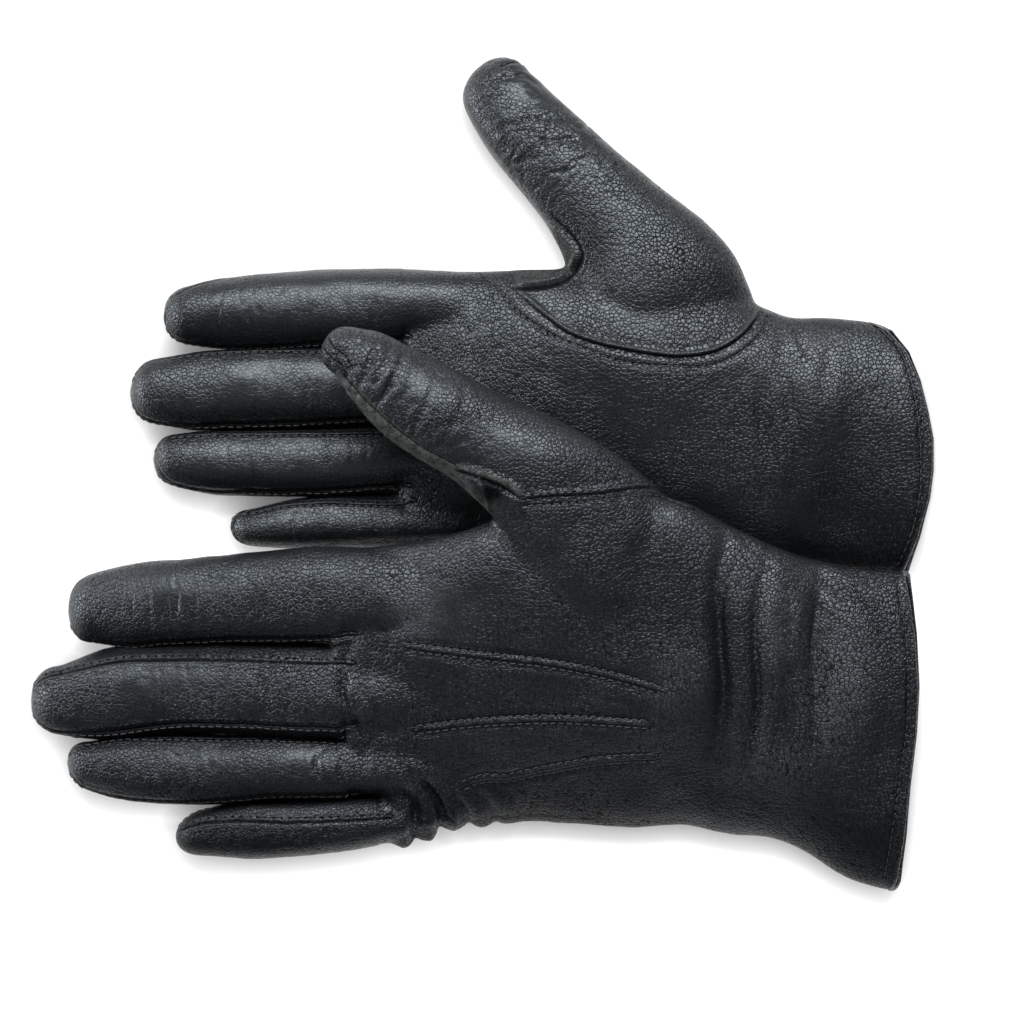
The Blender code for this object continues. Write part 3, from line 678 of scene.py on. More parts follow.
RIGHT_HEM = [(112.6, 42.0), (118.6, 35.4), (121.8, 26.6), (123.8, 15.4), (124.6, 3.4),
             (124.0, -8.4), (121.8, -17.8), (118.0, -27.4)]
LEFT_HEM = [(116.6, -27.2), (119.2, -41), (120.4, -56.5), (120.2, -71.4), (118.4, -86),
            (116.6, -101.5), (114.2, -118.2)]
RIGHT_QUIRK = [(9.4, 53.9), (13.9, 54.2), (18.8, 54.8), (22.4, 56.2), (25.4, 58.9),
               (26.6, 61.6), (25.2, 65.0), (22.2, 68.4), (19.0, 72.4)]
RIGHT_ARC = [(9.0, 53.4), (13.2, 49.4), (17.1, 46), (24.4, 40.6), (33.6, 37.2), (43.3, 35.2),
             (56.4, 33.8), (66.3, 35.5), (74.1, 40.6), (78.1, 46.6), (78.6, 51.6)]
RIGHT_TOP = [
    (RIGHT_ARC, "bead", 1.0, False),
    ([(-0.6, 57), (4, 53.2), (9.4, 46.6), (17.1, 40.6), (27.1, 36.1), (40.2, 31.5),
      (53.2, 30.4), (66.3, 30.9), (74.7, 35.5), (80.1, 41.5), (81.4, 47.0)], "stitch", 1.4, True),
    (beside(RIGHT_QUIRK, 0.3), "roll", 1.0, False),
    (beside(RIGHT_QUIRK, -1.25), "seam", 0.8, False),
    (RIGHT_HEM, "stitch", 2.0, True),
    ([(-90.6, 47), (-91.0, 43.6), (-89.6, 40.4), (-85.6, 38.2), (-78, 37.0)], "lip", 1.0, False),
    ([(-100.2, 20.6), (-98.6, 17.4), (-95, 15.4), (-88.6, 14.2), (-80, 13.6)], "lip", 1.0, False),
    ([(-93.4, 2.6), (-91.4, -0.6), (-87, -3.0), (-81, -4.6)], "lip", 0.8, False),
    ([(-66, -10.4), (-69.6, -12.0), (-71.6, -14.8), (-70.8, -18.0), (-67.4, -20.4)],
     "lip", 1.2, False),
    ([(-73, 56.0), (-78, 55.0), (-84, 53.0), (-88.6, 50.6)], "lip", 0.7, False),
    ([(-7, 45), (-3, 36), (-2, 27), (-5, 18)], "crease", 0.6, False),
    ([(88, 44), (85, 34), (87, 20), (90, 6), (88, -8)], "fold", 0.5, False),
    ([(82, 30), (79, 18), (81, 4), (80, -10)], "fold", 0.35, False),
    ([(100, 40), (97, 26), (98, 10)], "fold", 0.4, False),
    ([(88.5, 46), (90, 38), (94, 30)], "crease", 0.9, False),
    ([(33, 90), (38, 80), (37, 70)], "crease", 0.5, False),
    ([(-4, 108), (4, 112), (12, 113), (17, 110)], "crease", 0.8, False),
    ([(5.5, 116.4), (8.5, 117.6), (12.2, 116.6), (14.2, 114.4)], "seam", 1.0, False),
    ([(2, 96), (10, 100), (20, 101), (28, 99)], "crease", 0.6, False),
    ([(8, 86), (14, 92), (24, 95), (34, 93)], "crease", 0.5, False),
]
LEFT_TOP = [
    *point_row([(-20.5, -49.2), (-0.3, -51.7), (20, -54), (34.5, -56.9), (49.7, -61.1)]),
    *point_row([(-18.8, -72.8), (-4.8, -71), (17.1, -69.7), (47.9, -71.2)]),
    *point_row([(-6.1, -89), (0.5, -86.8), (6.3, -87.0), (11.5, -85.8), (23, -83.4),
                (34.6, -81.6), (49.7, -80.8)]),
    ([(-118.0, -85.6), (-115.6, -88.4), (-110, -91.0), (-103, -92.6)], "lip", 1.2, False),
    ([(-128.4, -70.6), (-126.0, -73.4), (-122, -74.8), (-116, -75.2)], "lip", 1.2, False),
    ([(-118.4, -42), (-116.4, -46.0), (-112, -48.0), (-107, -48.8)], "lip", 0.8, False),
    ([(-114, -29.4), (-116.8, -32.4), (-118.4, -36)], "lip", 0.5, False),
    ([(-86.5, -32), (-86.3, -36), (-87, -40)], "crack", 0.9, False),
    ([(-77, -30), (-76.6, -35), (-77.2, -40)], "crack", 0.8, False),
    ([(-65.3, -31), (-65.0, -36), (-65.8, -41)], "crack", 0.8, False),
    ([(11.6, -6.6), (16, -6.0), (22.5, -5.6), (32.5, -5), (44.7, -3.4), (52.2, -4),
      (60.4, -8.6)], "bead", 0.7, True),
    ([(12.5, -9.3), (26.2, -8.4), (35.6, -7.4), (47.9, -6.2), (59.4, -9.9)],
     "stitch", 1.2, True),
    (LEFT_HEM, "stitch", 2.0, True),
    ([(-35, -42), (-38.6, -52), (-39.9, -62), (-38.6, -66), (-34.2, -76.5), (-33.0, -88)],
     "fold", 0.95, False),
    ([(-38.4, -56), (-39.7, -62), (-38.4, -67)], "crease", 1.2, False),
    ([(-25, -81), (-20.2, -85.8), (-15.3, -90.3), (-12.6, -94.3), (-11.4, -98),
      (-11.8, -101)], "gather", 1.5, False),
    ([(-27, -91.4), (-21.6, -92), (-19.4, -94.5), (-19.2, -98), (-19.6, -102)],
     "gather", 1.15, False),
    ([(-15, -84), (-9.5, -91), (-6.0, -96), (-4.2, -99.6)], "gather", 0.95, False),
    ([(-4, -88), (0.6, -93), (2.8, -96.6), (3.6, -99.8)], "gather", 0.7, False),
    ([(6, -89), (9.0, -94), (11, -99)], "crease", 0.5, False),
    ([(-63.1, -56.9), (-61.6, -62), (-60.1, -69.1)], "crease", 1.6, False),
    ([(-46, -78), (-47.5, -83), (-45.6, -88)], "crease", 1.4, False),
    ([(-39, -78), (-40.5, -84), (-38.6, -90)], "crease", 0.9, False),
    ([(73, -20), (68, -34), (67.5, -50), (69, -64)], "crease", 0.8, False),
    ([(80, -30), (77, -46), (78, -64), (76.4, -80)], "crease", 0.6, False),
    ([(96, -33), (92.6, -50), (94, -68)], "crease", 0.5, False),
    ([(86, -30), (86.6, -44), (85, -56)], "crease", 0.4, False),
    ([(104, -32), (111, -44), (113, -52)], "crease", 0.8, False),
    ([(69, -16), (66, -30), (66.5, -46), (68, -60), (66, -80)], "fold", 1.3, False),
    ([(81, -22), (77, -40), (78, -60), (76, -86)], "fold", 1.2, False),
    ([(95, -30), (93.5, -46), (95, -62), (93, -84)], "fold", 1.1, False),
    ([(93.8, -26.9), (102.6, -35.8), (108.3, -40.9)], "fold", 0.7, False),
    ([(70, -15.5), (84, -30), (90, -40)], "crease", 0.7, False),
    ([(-22, 33), (-26, 24), (-30, 17)], "crease", 1.2, False),
    ([(-29, 36), (-33, 27), (-36, 21)], "crease", 1.1, False),
    ([(-26, 37.5), (-27, 31), (-31, 26)], "crease", 0.9, False),
    ([(-12, 28), (-17, 16), (-20, 9)], "crease", 0.8, False),
    ([(-4, 24), (-8, 14), (-12, 6)], "crease", 0.6, False),
    ([(-43.0, 37.4), (-40.6, 34.4), (-38.2, 32.6), (-37.0, 30.4)], "seam", 0.8, False),
    ([(-44.2, 34.6), (-42.0, 31.8), (-39.4, 30.0), (-38.0, 27.8)], "seam", 0.8, False),
    ([(-39.6, 28.4), (-32.0, 19.6), (-23.6, 12.0), (-15, 6.0), (-8, 2.4)], "seam", 0.9, False),
    ([(-8, 1.9), (-2, 0.4), (4.8, -1.9), (8.4, -3.8), (11.1, -6.3)], "roll", 0.7, False),
    ([(-8, 0.8), (-4.6, -2.6), (-1.4, -7.0), (1.6, -11.6)], "roll", 0.5, False),
    ([(-6.4, 0.2), (-2, -1.4), (4.0, -3.6), (9.4, -6.6)], "seam", 1.2, False),
    ([(-1.2, -1.4), (0.8, -6), (2.0, -11)], "ridge", 0.8, False),
]
LEFT_BOTTOM = [
    ([(9, -12), (20, -24), (34, -30), (50, -28), (62, -20)], "bead", 1.0, False),
    ([(5, -15), (18, -28), (34, -34), (52, -32), (66, -22)], "stitch", 1.2, True),
    (LEFT_HEM, "stitch", 1.5, True),
]
RIGHT_BOTTOM = [
    *point_row([(-14, 38), (20, 35), (54, 32)], 0.6),
    *point_row([(-16, 17.5), (20, 17.2), (56, 17)], 0.6),
    *point_row([(-12, -1.5), (20, 0.5), (52, 2.5)], 0.6),
    (RIGHT_HEM, "stitch", 1.5, True),
]

# Wrinkled patches: x, y, their two radii, the way across the wrinkles in degrees,
# their spacing, their length and their depth.
RIGHT["wrinkles"] = [
    (22, 93, 24, 22, 126, 3.2, 6.0, 0.50), (8, 112, 14, 12, 126, 2.8, 4.4, 0.30),
    (-55, 47, 42, 12, 0, 3.6, 10.0, 0.18), (-62, 25, 44, 12, 0, 3.6, 10.0, 0.16),
    (-58, 3, 42, 11, 0, 3.4, 10.0, 0.16), (-50, -15, 28, 10, 0, 3.4, 9.0, 0.22),
    (0, 25, 26, 36, 8, 5.0, 11.0, 0.22)]
LEFT["wrinkles"] = [
    (-34, 27, 18, 17, 153, 3.6, 4.8, 0.7), (-12, 15, 26, 20, 153, 3.6, 8.0, 0.42),
    (-78, -36, 46, 13, 0, 3.4, 10.0, 0.14), (-86, -62, 48, 14, 0, 3.4, 10.0, 0.18),
    (-80, -84, 44, 12, 0, 3.2, 10.0, 0.20), (-56, -101, 36, 11, 0, 3.2, 9.0, 0.26),
    (-30, -62, 22, 38, 10, 4.2, 11.0, 0.40), (-14, -97, 18, 13, 25, 3.0, 8.0, 0.34),
    (16, -94, 26, 11, -22, 2.8, 11.0, 0.34)]
# Swellings: x, y, their two radii and their height.
RIGHT["swells"] = [(52, 50, 26, 18, 0.8), (16, 96, 14, 12, 0.8), (94, 26, 16, 18, 0.7),
                   (-6, 46, 16, 9, 0.6), (-4, 24, 12, 9, 0.5), (36, -6, 60, 26, -4.0),
                   (104, -8, 16, 22, -1.4), (97, 20, 7, 26, 0.9), (80, 12, 6, 26, -0.6)]
LEFT["swells"] = [(-18, -48, 13, 11, 1.9), (-27, -63, 10, 9, 1.0), (-24, -84, 9, 7, 0.8),
                  (56, -62, 12, 15, 2.3), (81, -52, 9, 22, 2.6), (105, -62, 12, 24, 2.5),
                  (84, -80, 13, 12, 1.2), (30, 6, 22, 9, 0.9), (-28, 27, 8, 7, 1.2),
                  (-10, 18, 9, 7, 1.0), (28, -36, 22, 12, 0.9), (67, -56, 5, 26, -1.2),
                  (95, -52, 5, 26, -1.2), (20, -92, 60, 14, -1.6)]
# Suede strips: a line, half the strip's width and how raw it is.
LEFT["raw"] = [([(-40.2, 26.4), (-32.2, 17.6), (-23.2, 9.6), (-14.8, 3.8), (-7.6, -0.2)], 2.2, 0.9),
               ([(-8, 1.9), (-2, 0.4), (4.8, -1.9), (8.4, -3.8), (11.1, -6.3)], 0.75, 0.9),
               ([(-8, 0.8), (-4.6, -2.6), (-1.4, -7.0), (1.6, -11.6)], 1.0, 0.8),
               ([(-1.2, -1.4), (0.8, -6), (2.0, -11)], 0.5, 0.7)]
RIGHT["raw"] = [([(11, 57.2), (18, 58.2), (22.8, 61.0), (21.6, 65.4)], 2.4, 0.55),
                (RIGHT_QUIRK, 0.9, 0.25), (RIGHT_ARC, 0.35, 0.5)]
# Deep shade: x, y, their two radii and how dark they are.
LEFT["shade"] = [(2.6, -5.4, 5.5, 4.5, 0.9), (20, -114, 90, 38, 0.55), (100, -114, 50, 34, 0.45),
                 (-90, -49, 60, 8, 0.5), (-86, -76, 60, 8, 0.5), (-76, -108, 60, 16, 0.5),
                 (-80, -92, 46, 7, 0.4)]
RIGHT["shade"] = [(28, 66, 16, 22, 0.34), (104, -20, 40, 40, 0.5), (40, -24, 80, 34, 0.5),
                  (-60, 39, 50, 8, 0.5), (-60, 15.5, 50, 7, 0.5), (-60, -4, 50, 7, 0.5),
                  (-40, -20, 50, 7, 0.4)]
# Smooth patches: x, y, their two radii and how smooth they are.
LEFT["polish"] = [(-20, 24, 26, 10, 0.8), (-90, -33, 34, 8, 0.8), (-92, -58, 34, 9, 0.9),
                  (-70, -81, 44, 8, 0.8), (4, 8, 30, 9, 0.7),
                  (-16, -38, 16, 12, 0.6)]
# Painted highlight patches, where the grain is painted paler as if lit: x, y, their two radii and how
# pale they are.
LEFT["worn"] = [(99, -56, 15, 30, 0.9), (83, -42, 9, 22, 0.7), (54, -58, 13, 14, 0.7),
                (-14, -38, 20, 14, 0.5), (72, -28, 12, 14, 0.5), (84, -84, 18, 14, 0.35)]
RIGHT["worn"] = [(92, 32, 26, 16, 0.5), (20, 78, 20, 16, 0.3), (40, 60, 26, 12, 0.3)]
RIGHT["polish"] = [(-46, 49, 56, 13, 0.9), (-54, 27, 54, 12, 0.9), (-52, 5, 46, 12, 0.9),
                   (-46, -12, 36, 10, 0.7),
                   (14, 112, 16, 12, 0.7), (0, 104, 12, 12, 0.6)]
RIGHT["top"], RIGHT["bottom"] = RIGHT_TOP, RIGHT_BOTTOM
LEFT["top"], LEFT["bottom"] = LEFT_TOP, LEFT_BOTTOM


def cuff_x(glove, points):
    """Where the cuff ends: the layer underneath is a little longer than the one on top."""
    thumb_y, little_y, little_z, thumb_z, _ = smooth_rows(glove["hand"], 120.0)
    share = (points[:, 1] - little_y) / (thumb_y - little_y)
    under = np.clip((little_z + (thumb_z - little_z) * share - points[:, 2]) / 5.0 + 0.5, 0, 1)
    return straight_rows(glove["cuff"], points[:, 1]) - 1.9 + 1.9 * under**2 * (3 - 2 * under)


def used_points(quads, count):
    """Which of `count` points the quads use, and the quads renumbered to those."""
    used = np.unique(quads)
    renumber = np.full(count, -1)
    renumber[used] = np.arange(len(used))
    return used, renumber[quads]


def cut_cuff(glove, points, quads):
    """Opens the skin at the cuff and draws its edge to the cuff's line."""
    cuff = cuff_x(glove, points)
    beyond = points[:, 0] > cuff
    quads = quads[~beyond[quads].any(axis=1)]
    edges, faces_beside = edges_of(quads)
    rim = np.unique(edges[faces_beside == 1])
    points = points.copy()
    points[rim, 0] = cuff[rim]
    used, quads = used_points(quads, len(points))
    return points[used], quads


def finger_trees(glove, points, quads, owner):
    """For each finger, a search tree of its own skin and of the hand next to it."""
    trees = {}
    places = [Vector(p) for p in points]
    for number, (part, finger) in enumerate(glove["fingers"].items()):
        own = (owner == number) | ((owner < 0) & (points[:, 0] < finger["web"][0] + 12))
        trees[part] = BVHTree.FromPolygons(places, quads[own[quads].all(axis=1)].tolist())
    return trees


def placed_lines(glove, points, quads, owner, seed):
    """Every seam, stitch row and fold laid on the skin: curve, kind, size, stitched, finger."""
    tree = BVHTree.FromPolygons([Vector(p) for p in points], quads.tolist())
    lines = []
    for above, key in ((True, "top"), (False, "bottom")):
        for flat, kind, size, stitched in glove[key]:
            curve = project(tree, resample([(x, y, 0) for x, y in flat])[:, :2], above)
            if kind == "gather":
                curve = np.vstack([curve, snap(tree, round_the_edge(curve[-1]))])
            lines.append((curve, kind, size, stitched, None))
    trees = finger_trees(glove, points, quads, owner)
    for line, kind, size, stitched, part in finger_seams(glove) + finger_creases(glove, seed):
        lines.append((snap(trees[part], resample(line)), kind, size, stitched, part))
    return lines


def press_lines(glove, points, normals, owner, lines):
    """Relief of all the lines, and what the shader needs to draw them finely."""
    numbers = {part: number for number, part in enumerate(glove["fingers"])}
    finder = KDTree(len(points))
    for number, place in enumerate(points):
        finder.insert(Vector(place), number)
    finder.balance()
    height = np.zeros(len(points))
    drawn = {key: np.zeros((len(points), 3)) for key in LINE_REACH}
    nearest = {key: np.full(len(points), FAR_OFF) for key in LINE_REACH}
    for curve, kind, size, stitched, part in lines:
        _, reach, style, _ = KINDS[kind]
        near = reach_of(finder, points, normals, curve, reach)
        if near is None:
            continue
        index, distance, share = near
        if part is not None:
            own = (owner[index] == numbers[part]) | (owner[index] < 0)
            index, distance, share = index[own], distance[own], share[own]
        height[index] += line_height(kind, distance, share, size)
        if style is not None:
            draw(drawn["line"], nearest["line"], LINE_REACH["line"], index, distance,
                 np.full(len(index), style))
        if stitched:
            offset = 1.15 if kind == "seam" else 0.0
            draw(drawn["thread"], nearest["thread"], LINE_REACH["thread"], index,
                 distance - offset, share * LINE_STEP * len(curve))
    return height, drawn


def make_skin(glove, seed):
    """The finished outer skin of one glove, with everything needed to split it."""
    voxel = VOXEL * 1.0
    points, quads = voxel_skin(*glove_solid(glove), voxel)
    points[:, 2] = np.maximum(points[:, 2], glove["floor"])
    points = relax(points, edges_of(quads)[0], int(round(22 * (VOXEL / voxel) ** 2)))
    points, quads = cut_cuff(glove, points, quads)
    edges, _ = edges_of(quads)
    owner = finger_of(glove, points)
    points = plump_fingers(glove, points, owner)
    points[:, 2] = np.maximum(points[:, 2], glove["floor"] + 0.05)
    normals = normals_of(points, quads)
    rest = points.copy()
    uneven = soft_unevenness(points, seed) + wrinkled(glove, points, seed)
    uneven += swelling(glove, points) * (normals[:, 2] > 0) * np.clip(normals[:, 2] * 2, 0, 1)
    points = points + normals * uneven[:, None]
    lines = placed_lines(glove, points, quads, owner, seed)
    height, drawn = press_lines(glove, points, normals, owner, lines)
    points = points + normals * height[:, None]
    points[:, 2] = np.maximum(points[:, 2], glove["floor"] + 0.02)
    points = relax(points, edges, 1, 0.3)
    normals = normals_of(points, quads)
    return {"points": points, "quads": quads, "normals": normals, "rest": rest, "owner": owner,
            "lines": lines, "marks": raw_marks(glove, rest), **drawn}


def draw(attribute, nearest, reach, index, distance, extra):
    """Notes the signed distance, a weight that fades to 0, and one more value."""
    size = np.abs(distance)
    chosen = (size < reach) & (size < nearest[index])
    mine = index[chosen]
    nearest[mine] = size[chosen]
    attribute[mine, 0] = distance[chosen]
    attribute[mine, 1] = np.clip(1.6 * (1 - size[chosen] / reach), 0, 1)
    attribute[mine, 2] = extra[chosen]


def distance_to(curve, x, y):
    """Distance on the plan from each (x, y) to a polyline, negative on its right."""
    best = np.full(len(x), FAR_OFF)
    sign = np.ones(len(x))
    for (x1, y1), (x2, y2) in zip(curve[:-1], curve[1:]):
        dx, dy = x2 - x1, y2 - y1
        share = np.clip(((x - x1) * dx + (y - y1) * dy) / (dx * dx + dy * dy), 0, 1)
        gap = np.hypot(x - x1 - share * dx, y - y1 - share * dy)
        side = np.sign(dx * (y - y1) - dy * (x - x1))
        closer = gap < best
        best[closer] = gap[closer]
        sign[closer] = side[closer]
    return best * sign


def raw_marks(glove, points):
    """Where the skin shows raw suede (x), painted deep shade or painted highlight (y, over or
    under 0) and smoothness (z)."""
    marks = np.zeros((len(points), 3))
    on_thumb = points[:, 2] > (LEFT_THUMB_LEVEL if glove["name"] == "left" else 6)
    for curve, width, rawness in glove["raw"]:
        gap = np.abs(distance_to(curve, points[:, 0], points[:, 1]))
        strip = np.clip((width - gap) / 0.6 + 0.5, 0, 1) * rawness * on_thumb
        marks[:, 0] = np.maximum(marks[:, 0], strip)
    for x, y, radius_x, radius_y, amount in glove["shade"]:
        spot = amount * patch(points, x, y, radius_x, radius_y)
        if amount > 0.6:
            spot *= on_thumb
        marks[:, 1] = np.maximum(marks[:, 1], spot)
    for x, y, radius_x, radius_y, amount in glove["polish"]:
        marks[:, 2] = np.maximum(marks[:, 2], amount * patch(points, x, y, radius_x, radius_y))
    # Painted highlight: these patches go below 0 and are painted paler in the leather.
    for x, y, radius_x, radius_y, amount in glove["worn"]:
        marks[:, 1] -= amount * patch(points, x, y, radius_x, radius_y)
    return marks


# --- splitting the skin into the glove's pieces ----------------------------------
def inside(polygon, x, y):
    """True where (x, y) lies in the polygon."""
    result = np.zeros(len(x), bool)
    count = len(polygon)
    for number in range(count):
        x1, y1 = polygon[number]
        x2, y2 = polygon[(number + 1) % count]
        crosses = (y1 > y) != (y2 > y)
        with np.errstate(divide="ignore", invalid="ignore"):
            at = (x2 - x1) * (y - y1) / (y2 - y1) + x1
        result ^= crosses & (x < at)
    return result


THUMB_ZONES = {
    "right": {"top": [(9.4, 53.7), (17.1, 46), (24.4, 40.6), (33.6, 37.2), (43.3, 35.2),
                      (56.4, 33.8), (66.3, 35.5), (74.1, 40.6), (78.1, 46.6), (80, 54),
                      (100, 70), (60, 140), (-40, 140), (8, 60)],
              "bottom": [(14, 58), (30, 52), (55, 49), (79, 51), (100, 70), (60, 140),
                         (-40, 140), (10, 66)],
              "quirk": [(3, 58), (9.0, 54.0), (13.9, 55.0), (18.8, 55.6), (22.0, 57.2),
                        (24.6, 59.6), (25.4, 61.6), (23, 65.2), (20, 68), (12, 64)]},
    "left": {"top": [(2.4, -12.5), (12.5, -7.2), (22.5, -5.7), (32.5, -5), (44.7, -3.5),
                     (52.2, -4.1), (61, -8.8), (70, 10), (0, 60), (-80, 60), (-30, 6)],
             "bottom": [(3, -14), (20, -25), (34, -31), (50, -29), (62, -20), (66, -12),
                        (70, 10), (0, 60), (-80, 60), (-30, 6)],
             "quirk": [(-8, 1.9), (-9, -3), (2.4, -13), (11.6, -6.4), (4.8, -2.4)]},
}


def columns_at(rows, x):
    """Each column of rows that start with x, straight between the rows."""
    table = np.array(sorted(rows), float)
    return [np.interp(x, table[:, 0], column) for column in table[:, 1:].T]


def above_hand(glove, middle):
    """True for the faces on the upper side of the hand."""
    thumb_y, little_y, little_z, thumb_z, _ = columns_at(glove["hand"], middle[:, 0])
    share = (middle[:, 1] - little_y) / (thumb_y - little_y)
    return middle[:, 2] > little_z + (thumb_z - little_z) * share


def finger_labels(finger, names, has_thumb_side, has_little_side, middle):
    """Which of a finger's pieces each face is on, by its angle round the section."""
    x = middle[:, 0]
    thumb_y, little_y, centre_z, half_height = columns_at(finger["rows"], x)
    u = (middle[:, 1] - (thumb_y + little_y) / 2) / ((thumb_y - little_y) / 2)
    v = (middle[:, 2] - centre_z) / half_height
    exponent = ROUNDNESS / 2
    angle = np.degrees(np.arctan2(np.sign(v) * np.abs(v) ** exponent,
                                  np.sign(u) * np.abs(u) ** exponent))
    thumb_up, thumb_down, little_up, little_down = finger["seams"]
    root, last = finger["web"][0] + 3.0, min(finger["rows"])[0]
    lean = np.clip((x - root) / (last - root), 0, 1) ** 2 * SEAM_LEAN
    before_tip = x > last - 4
    part = np.where(v > 0, names[0], names[1])
    if has_thumb_side:
        strip = (angle < thumb_up * (1 - lean)) & (angle > thumb_down * (1 - lean))
        part = np.where(strip & before_tip, names[2], part)
    if has_little_side:
        top = little_up + (180 - little_up) * lean
        low = little_down + (-180 - little_down) * lean
        part = np.where(((angle > top) | (angle < low)) & before_tip, names[3], part)
    return part


def label_faces(glove, skin):
    """The CAD node each face of the skin stands for."""
    middle = skin["rest"][skin["quads"]].mean(axis=1)
    name = glove["name"]
    upper, lower = ("palm", "back") if glove["palm_up"] else ("back", "palm")
    labels = np.full(len(middle), "", dtype=object)
    above = above_hand(glove, middle)
    labels[above] = f"{name}_{upper}_panel"
    labels[~above] = f"{name}_{lower}_panel"
    owner = skin["owner"][skin["quads"][:, 0]]
    for number, (finger_name, finger) in enumerate(glove["fingers"].items()):
        names = [f"{name}_{finger_name}_{end}" for end in
                 (upper, lower, "fourchette_thumb_side", "fourchette_little_side")]
        part = finger_labels(finger, names, finger_name != "index", finger_name != "little",
                             middle)
        labels[owner == number] = part[owner == number]
    x, y = middle[:, 0], middle[:, 1]
    zones = THUMB_ZONES[name]
    on_top = skin["normals"][skin["quads"]].mean(axis=1)[:, 2] > 0
    thumb = np.where(on_top, inside(zones["top"], x, y), inside(zones["bottom"], x, y))
    thumb &= owner < 0
    start, end = thumb_bend(glove["thumb"])
    moving = (middle - start) @ (end - start) > 0
    labels[thumb & ~moving] = f"{name}_thumb_base"
    labels[thumb & moving] = f"{name}_thumb_sheath"
    quirk = inside(zones["quirk"], x, y) & (owner < 0) & ~moving
    labels[quirk] = f"{name}_thumb_quirk"
    return labels


def add_object(name, mesh, material, nodes=()):
    """Puts a piece in the scene with its material, and hides the CAD nodes it replaces."""
    piece = bpy.data.objects.new(name, mesh)
    bpy.context.scene.collection.objects.link(piece)
    mesh.materials.append(material)
    if nodes:
        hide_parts(*nodes)
    return piece


def add_attribute(mesh, name, values):
    attribute = mesh.attributes.new(name, "FLOAT_VECTOR", "POINT")
    attribute.data.foreach_set("vector", np.asarray(values).astype(np.float32).ravel())


def add_rest(mesh, rest):
    """Keeps where each point was cut, so the grain stays put when the leather bends."""
    add_attribute(mesh, "rest", np.asarray(rest) * MM)


def skin_piece(skin, chosen, name, material, slot, nodes):
    """One leather piece: the chosen faces of a skin, with its normals and marks."""
    used, quads = used_points(skin["quads"][chosen], len(skin["points"]))
    mesh = make_mesh(name, skin["points"][used], quads.tolist())
    mesh.shade_smooth()
    mesh.normals_split_custom_set_from_vertices(skin["normals"][used].tolist())
    add_rest(mesh, skin["rest"][used])
    for attribute in ("line", "thread", "marks"):
        add_attribute(mesh, attribute, skin[attribute][used])
    return add_object(name, mesh, material, nodes)


def place(piece, glove, part):
    """Rides on the hand, or for a finger or the thumb keeps its place baked into its mesh."""
    name = glove["name"]
    hand = f"{name}_hand"
    if part in glove["fingers"]:
        start, end = glove["fingers"][part]["web"]
        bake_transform(piece)
    elif part == "thumb":
        start, end = thumb_bend(glove["thumb"])
        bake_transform(piece)
    else:
        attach(piece, hand)


def part_of(node, glove):
    """The moving part a CAD node belongs to: a finger, the thumb or the hand."""
    for part in glove["fingers"]:
        if f"_{part}_" in node:
            return part
    return "thumb" if "thumb_sheath" in node or "thumb_lining" in node else "hand"


# --- thread ---------------------------------------------------------------------
def stitch_shape():
    """A short rounded stitch along +X, in millimetres."""
    stations = [(-0.86, 0.05), (-0.72, 0.15), (-0.3, 0.21),
                (0.3, 0.21), (0.72, 0.15), (0.86, 0.05)]
    points, sides = [], 6
    for along, radius in stations:
        for side in range(sides):
            turn = 2 * math.pi * side / sides
            points.append((along, radius * math.cos(turn), radius * math.sin(turn)))
    faces = [(a, d, c, b) for a, b, c, d in tube_faces(len(stations), sides)]
    faces.append(tuple(reversed(range(sides))))
    faces.append(tuple(range((len(stations) - 1) * sides, len(stations) * sides)))
    return np.array(points), faces


def level_with(normal, tangent):
    """A direction turned into the skin's plane, and the one beside it."""
    tangent = unit(tangent - normal * (tangent @ normal))
    return tangent, np.cross(normal, tangent)


def stitches_along(curve, tree, offset):
    """For every stitch of a row: its place, its three axes and the face it lies on."""
    chord = chord_of(curve)
    for distance in np.arange(STITCH_PITCH / 2, chord[-1] - 1.0, STITCH_PITCH):
        here = np.array([np.interp(distance, chord, curve[:, a]) for a in range(3)])
        ahead = np.array([np.interp(distance + 0.8, chord, curve[:, a]) for a in range(3)])
        spot, normal, face, _ = tree.find_nearest(Vector(here))
        if face is None:
            continue
        normal = np.array(normal)
        tangent, sideways = level_with(normal, ahead - here)
        if offset:
            beside_seam = Vector(np.array(spot) + sideways * offset)
            spot, normal, face, _ = tree.find_nearest(beside_seam)
            normal = np.array(normal)
            tangent, sideways = level_with(normal, tangent)
        yield np.array(spot) + normal * 0.03, np.vstack([tangent, sideways, normal]), face


def sew(glove, skin, material):
    """Rows of stitches along every stitched line, one piece for each body."""
    shape, shape_faces = stitch_shape()
    whole = BVHTree.FromPolygons([Vector(p) for p in skin["points"]], skin["quads"].tolist())
    trees = finger_trees(glove, skin["points"], skin["quads"], skin["owner"])
    groups = {}
    for curve, kind, _, stitched, finger in skin["lines"]:
        if not stitched or len(curve) < 8:
            continue
        offset = 1.1 if kind == "seam" else 0.0
        for spot, axes, face in stitches_along(curve, trees.get(finger, whole), offset):
            part = finger or part_of(skin["labels"][face], glove)
            groups.setdefault(part, []).append(spot + shape @ axes)
    for part, stitches in groups.items():
        points = np.vstack(stitches)
        faces = [tuple(i + number * len(shape) for i in face)
                 for number in range(len(stitches)) for face in shape_faces]
        mesh = make_mesh(f"{glove['name']}_{part}_stitches", points, faces)
        mesh.shade_smooth()
        add_rest(mesh, points)
        points_of_back = [f"{glove['name']}_point_{n}" for n in (1, 2, 3)]
        piece = add_object(mesh.name, mesh, material,
                           points_of_back if part == "hand" else ())
        place(piece, glove, part)


